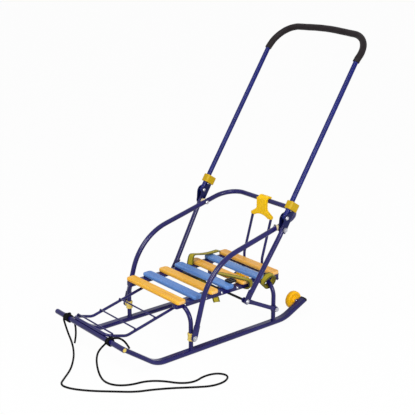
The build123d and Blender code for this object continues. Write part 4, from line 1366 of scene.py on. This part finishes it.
@dataclass
class TowRope:
    """Rope lain on the floor before the sled, tied to the nose crossbar at both ends.

    It comes down from the right knot, lies on the floor and climbs to the left knot. Tails, their lengths
    and the Y of the knots' ends are given for the left and then the right.
    """

    diameter: float = 0.006
    drawn: float = 0.0048
    girth: int = 3
    rope_length: float = 1.394
    lie: float = 0.0032
    down: tuple[Point, ...] = (
        (0.500, -0.127, 0.090), (0.500, -0.110, 0.058), (0.5005, -0.081, 0.026), (0.514, -0.052, 0.007),
    )
    lain: tuple[Pair, ...] = (
        (0.540, -0.016), (0.575, 0.026), (0.6165, 0.0605), (0.650, 0.088), (0.640, 0.128), (0.602, 0.176),
        (0.555, 0.219), (0.510, 0.260), (0.464, 0.280), (0.414, 0.309), (0.366, 0.343), (0.320, 0.372),
        (0.272, 0.374), (0.242, 0.350), (0.258, 0.318), (0.300, 0.308), (0.344, 0.320), (0.382, 0.300),
        (0.410, 0.256), (0.448, 0.226), (0.496, 0.218), (0.532, 0.192), (0.543, 0.154),
    )
    up: tuple[Point, ...] = (
        (0.532, 0.114, 0.005), (0.519, 0.082, 0.016), (0.510, 0.066, 0.036), (0.504, 0.072, 0.062),
        (0.5005, 0.101, 0.090),
    )
    tails: tuple[tuple[Point, ...], ...] = (
        ((0.484, 0.114, 0.106), (0.477, 0.125, 0.1115), (0.471, 0.143, 0.112), (0.466, 0.160, 0.103),
         (0.463, 0.170, 0.089)),
        ((0.478, -0.1035, 0.089), (0.475, -0.101, 0.072), (0.4765, -0.097, 0.052), (0.4785, -0.097, 0.032),
         (0.479, -0.103, 0.013)),
    )
    tail_lengths: Pair = (0.0729, 0.0776)
    knots: tuple[Pair, Pair] = ((0.0975, 0.119), (-0.131, -0.101))
    turn_steps: int = 12
    turn_length: float = 0.065
    over_share: float = 0.8

    def strand(self, name: str, points: Sequence[Point], length: float, node: str,
               thickness: float) -> bpy.types.Object:
        """Lays one strand along its points.

        Args:
            name: Name of the piece.
            points: Control points in metres.
            length: Length of the strand.
            node: CAD node that it replaces.
            thickness: Diameter of the strand.

        Returns:
            The curve object.
        """
        curve = smooth_curve(name, points)
        curve.bevel_depth = thickness / 2
        curve.bevel_resolution = self.girth
        curve.use_fill_caps = True
        strand = bpy.data.objects.new(name, curve)
        settle(strand, cord_finish(length), Body.FRAME, node)
        return strand

    def hitch(self, side: Side, span: Pair, tied: Point) -> bpy.types.Object:
        """Winds the knot on the crossbar: close turns with one strand laid back over them.

        Args:
            side: Side of the sled.
            span: Y of the knot's ends.
            tied: End of the rope that comes into the knot.

        Returns:
            The knot, which stands in for its CAD node.
        """
        radius = CROSSBAR_RADIUS + self.drawn / 2
        lower, upper = span[0] + self.diameter / 2, span[1] - self.diameter / 2
        count = round((upper - lower) / self.drawn)
        wound = []
        for step in range(self.turn_steps * count + 1):
            y = lower + (upper - lower) * step / (self.turn_steps * count)
            wound.append((radius, math.tau * step / self.turn_steps, y))
        over = radius + self.drawn * self.over_share
        for step in range(1, self.turn_steps + 1):
            y = upper + (lower - upper) * step / self.turn_steps
            wound.append((over, math.pi * step / self.turn_steps, y))
        points = [(CROSSBAR[0] + reach * math.cos(turn), y, CROSSBAR[1] + reach * math.sin(turn))
                  for reach, turn, y in wound]
        length = self.turn_length * count
        return self.strand(f"hitch_{side.label}", [tied] + points, length, f"knot_{side.label}", self.drawn)

    def build(self) -> None:
        route = [*self.down, *((x, y, self.lie) for x, y in self.lain), *self.up]
        ends = zip(Side, self.knots, (route[-1], route[0]))
        knots = [self.hitch(side, span, tied) for side, span, tied in ends]
        rope = self.strand("tow_rope", route, self.rope_length, "rope", self.diameter)
        for side, points, length in zip(Side, self.tails, self.tail_lengths):
            node = f"rope_tail_{side.label}"
            tail = self.strand(f"tow_{node}", points, length, node, self.diameter)


@dataclass(frozen=True)
class Photographer:
    """Camera where the photographer stood."""

    place: Point = (1.9323, 2.2953, 1.3238)
    target: Point = (0.0230, -0.0102, 0.3823)
    lens: float = 85.32
    sensor: float = 36.0

    def build(self) -> None:
        """Sets up the scene's camera."""
        data = bpy.data.cameras.new("camera")
        data.lens = self.lens
        data.sensor_width = self.sensor
        camera = bpy.data.objects.new("camera", data)
        camera.location = self.place
        look = Vector(self.target) - Vector(self.place)
        camera.rotation_euler = look.to_track_quat("-Z", "Y").to_euler()
        bpy.context.scene.collection.objects.link(camera)
        bpy.context.scene.camera = camera


class Lamp(NamedTuple):
    """Soft lamp: its place, the width of its square face and its power in watts."""

    name: str
    place: Point
    size: float
    power: float


@dataclass(frozen=True)
class Studio:
    """Pale floor, white surroundings and soft lamps aimed at the seat."""

    lamps: tuple[Lamp, ...] = (
        Lamp("key", (2.4, 0.6, 3.2), 1.2, 64.0),
        Lamp("fill", (0.9, 3.2, 1.7), 1.4, 72.0),
    )
    aim: Point = (0.0, 0.0, 0.35)
    ambient: float = 0.45
    floor_half: float = 30.0
    floor_drop: float = 0.0005
    floor_white: float = 0.96
    floor_colour: Colour = (0.82, 0.82, 0.82, 1.0)
    floor_roughness: float = 0.9

    def hang(self, lamp: Lamp) -> None:
        """Adds one soft lamp.

        Args:
            lamp: The lamp.
        """
        data = bpy.data.lights.new(lamp.name, "AREA")
        data.size = lamp.size
        data.energy = lamp.power
        light = bpy.data.objects.new(lamp.name, data)
        light.location = lamp.place
        light.rotation_euler = (Vector(self.aim) - Vector(lamp.place)).to_track_quat("-Z", "Y").to_euler()
        bpy.context.scene.collection.objects.link(light)

    def seen_white(self, graph: NodeGraph) -> Socket:
        """Adds the switch that is on for rays that should see a white background.

        Args:
            graph: Graph to add to.

        Returns:
            Socket that is 1 for camera, glossy and transmission rays.
        """
        path = graph.node("LightPath", {}).outputs
        either = graph.maths("MAXIMUM", path["Is Camera Ray"], path["Is Glossy Ray"])
        return graph.maths("MAXIMUM", either, path["Is Transmission Ray"])

    def build_floor(self) -> None:
        """Lays the floor, white to the camera with the sled's faint shadow on it."""
        shape = bmesh.new()
        bmesh.ops.create_grid(shape, x_segments=1, y_segments=1, size=self.floor_half)
        bmesh.ops.translate(shape, verts=shape.verts, vec=(0, 0, -self.floor_drop))
        mesh = bpy.data.meshes.new("floor")
        shape.to_mesh(mesh)
        shape.free()
        floor = bpy.data.objects.new("floor", mesh)
        bpy.context.scene.collection.objects.link(floor)
        material = bpy.data.materials.new("floor")
        graph = ShaderGraph(material)
        graph.shader.inputs["Base Color"].default_value = self.floor_colour
        graph.shader.inputs["Roughness"].default_value = self.floor_roughness
        glow = graph.node("Emission", {"Strength": 1.0})
        share = graph.maths("MULTIPLY", self.seen_white(graph), self.floor_white)
        graph.surface(share, graph.shader.outputs[0], glow.outputs[0], "Material Output")
        mesh.materials.append(material)

    def build(self) -> None:
        """Lights the studio, lays its floor and sets the view transform."""
        world = bpy.data.worlds.new("studio")
        bpy.context.scene.world = world
        world.use_nodes = True
        graph = NodeGraph(world.node_tree)
        soft = graph.tree.nodes["Background"]
        soft.inputs["Color"].default_value = WHITE
        soft.inputs["Strength"].default_value = self.ambient
        white = graph.node("Background", {"Color": WHITE, "Strength": 1.0})
        graph.surface(self.seen_white(graph), soft.outputs[0], white.outputs[0], "World Output")
        self.build_floor()
        for lamp in self.lamps:
            self.hang(lamp)
        bpy.context.scene.view_settings.view_transform = "Standard"
        LOG.info("studio lit")


def main() -> None:
    """Builds and dresses the sled, with its studio and camera."""
    logging.basicConfig(level=logging.INFO, format="%(message)s")
    Photographer().build()
    TowRope().build()
    PaintedNodes().dress()
    LapBelt().build()
    for side in Side:
        Wheel(side).build()
    FoamGrip().build()
    HingeChannels().build()
    Fasteners().build()
    Mouldings().build()
    FootrestWires().build()
    Welds().build()
    Studio().build()


if __name__ == "__main__":
    main()
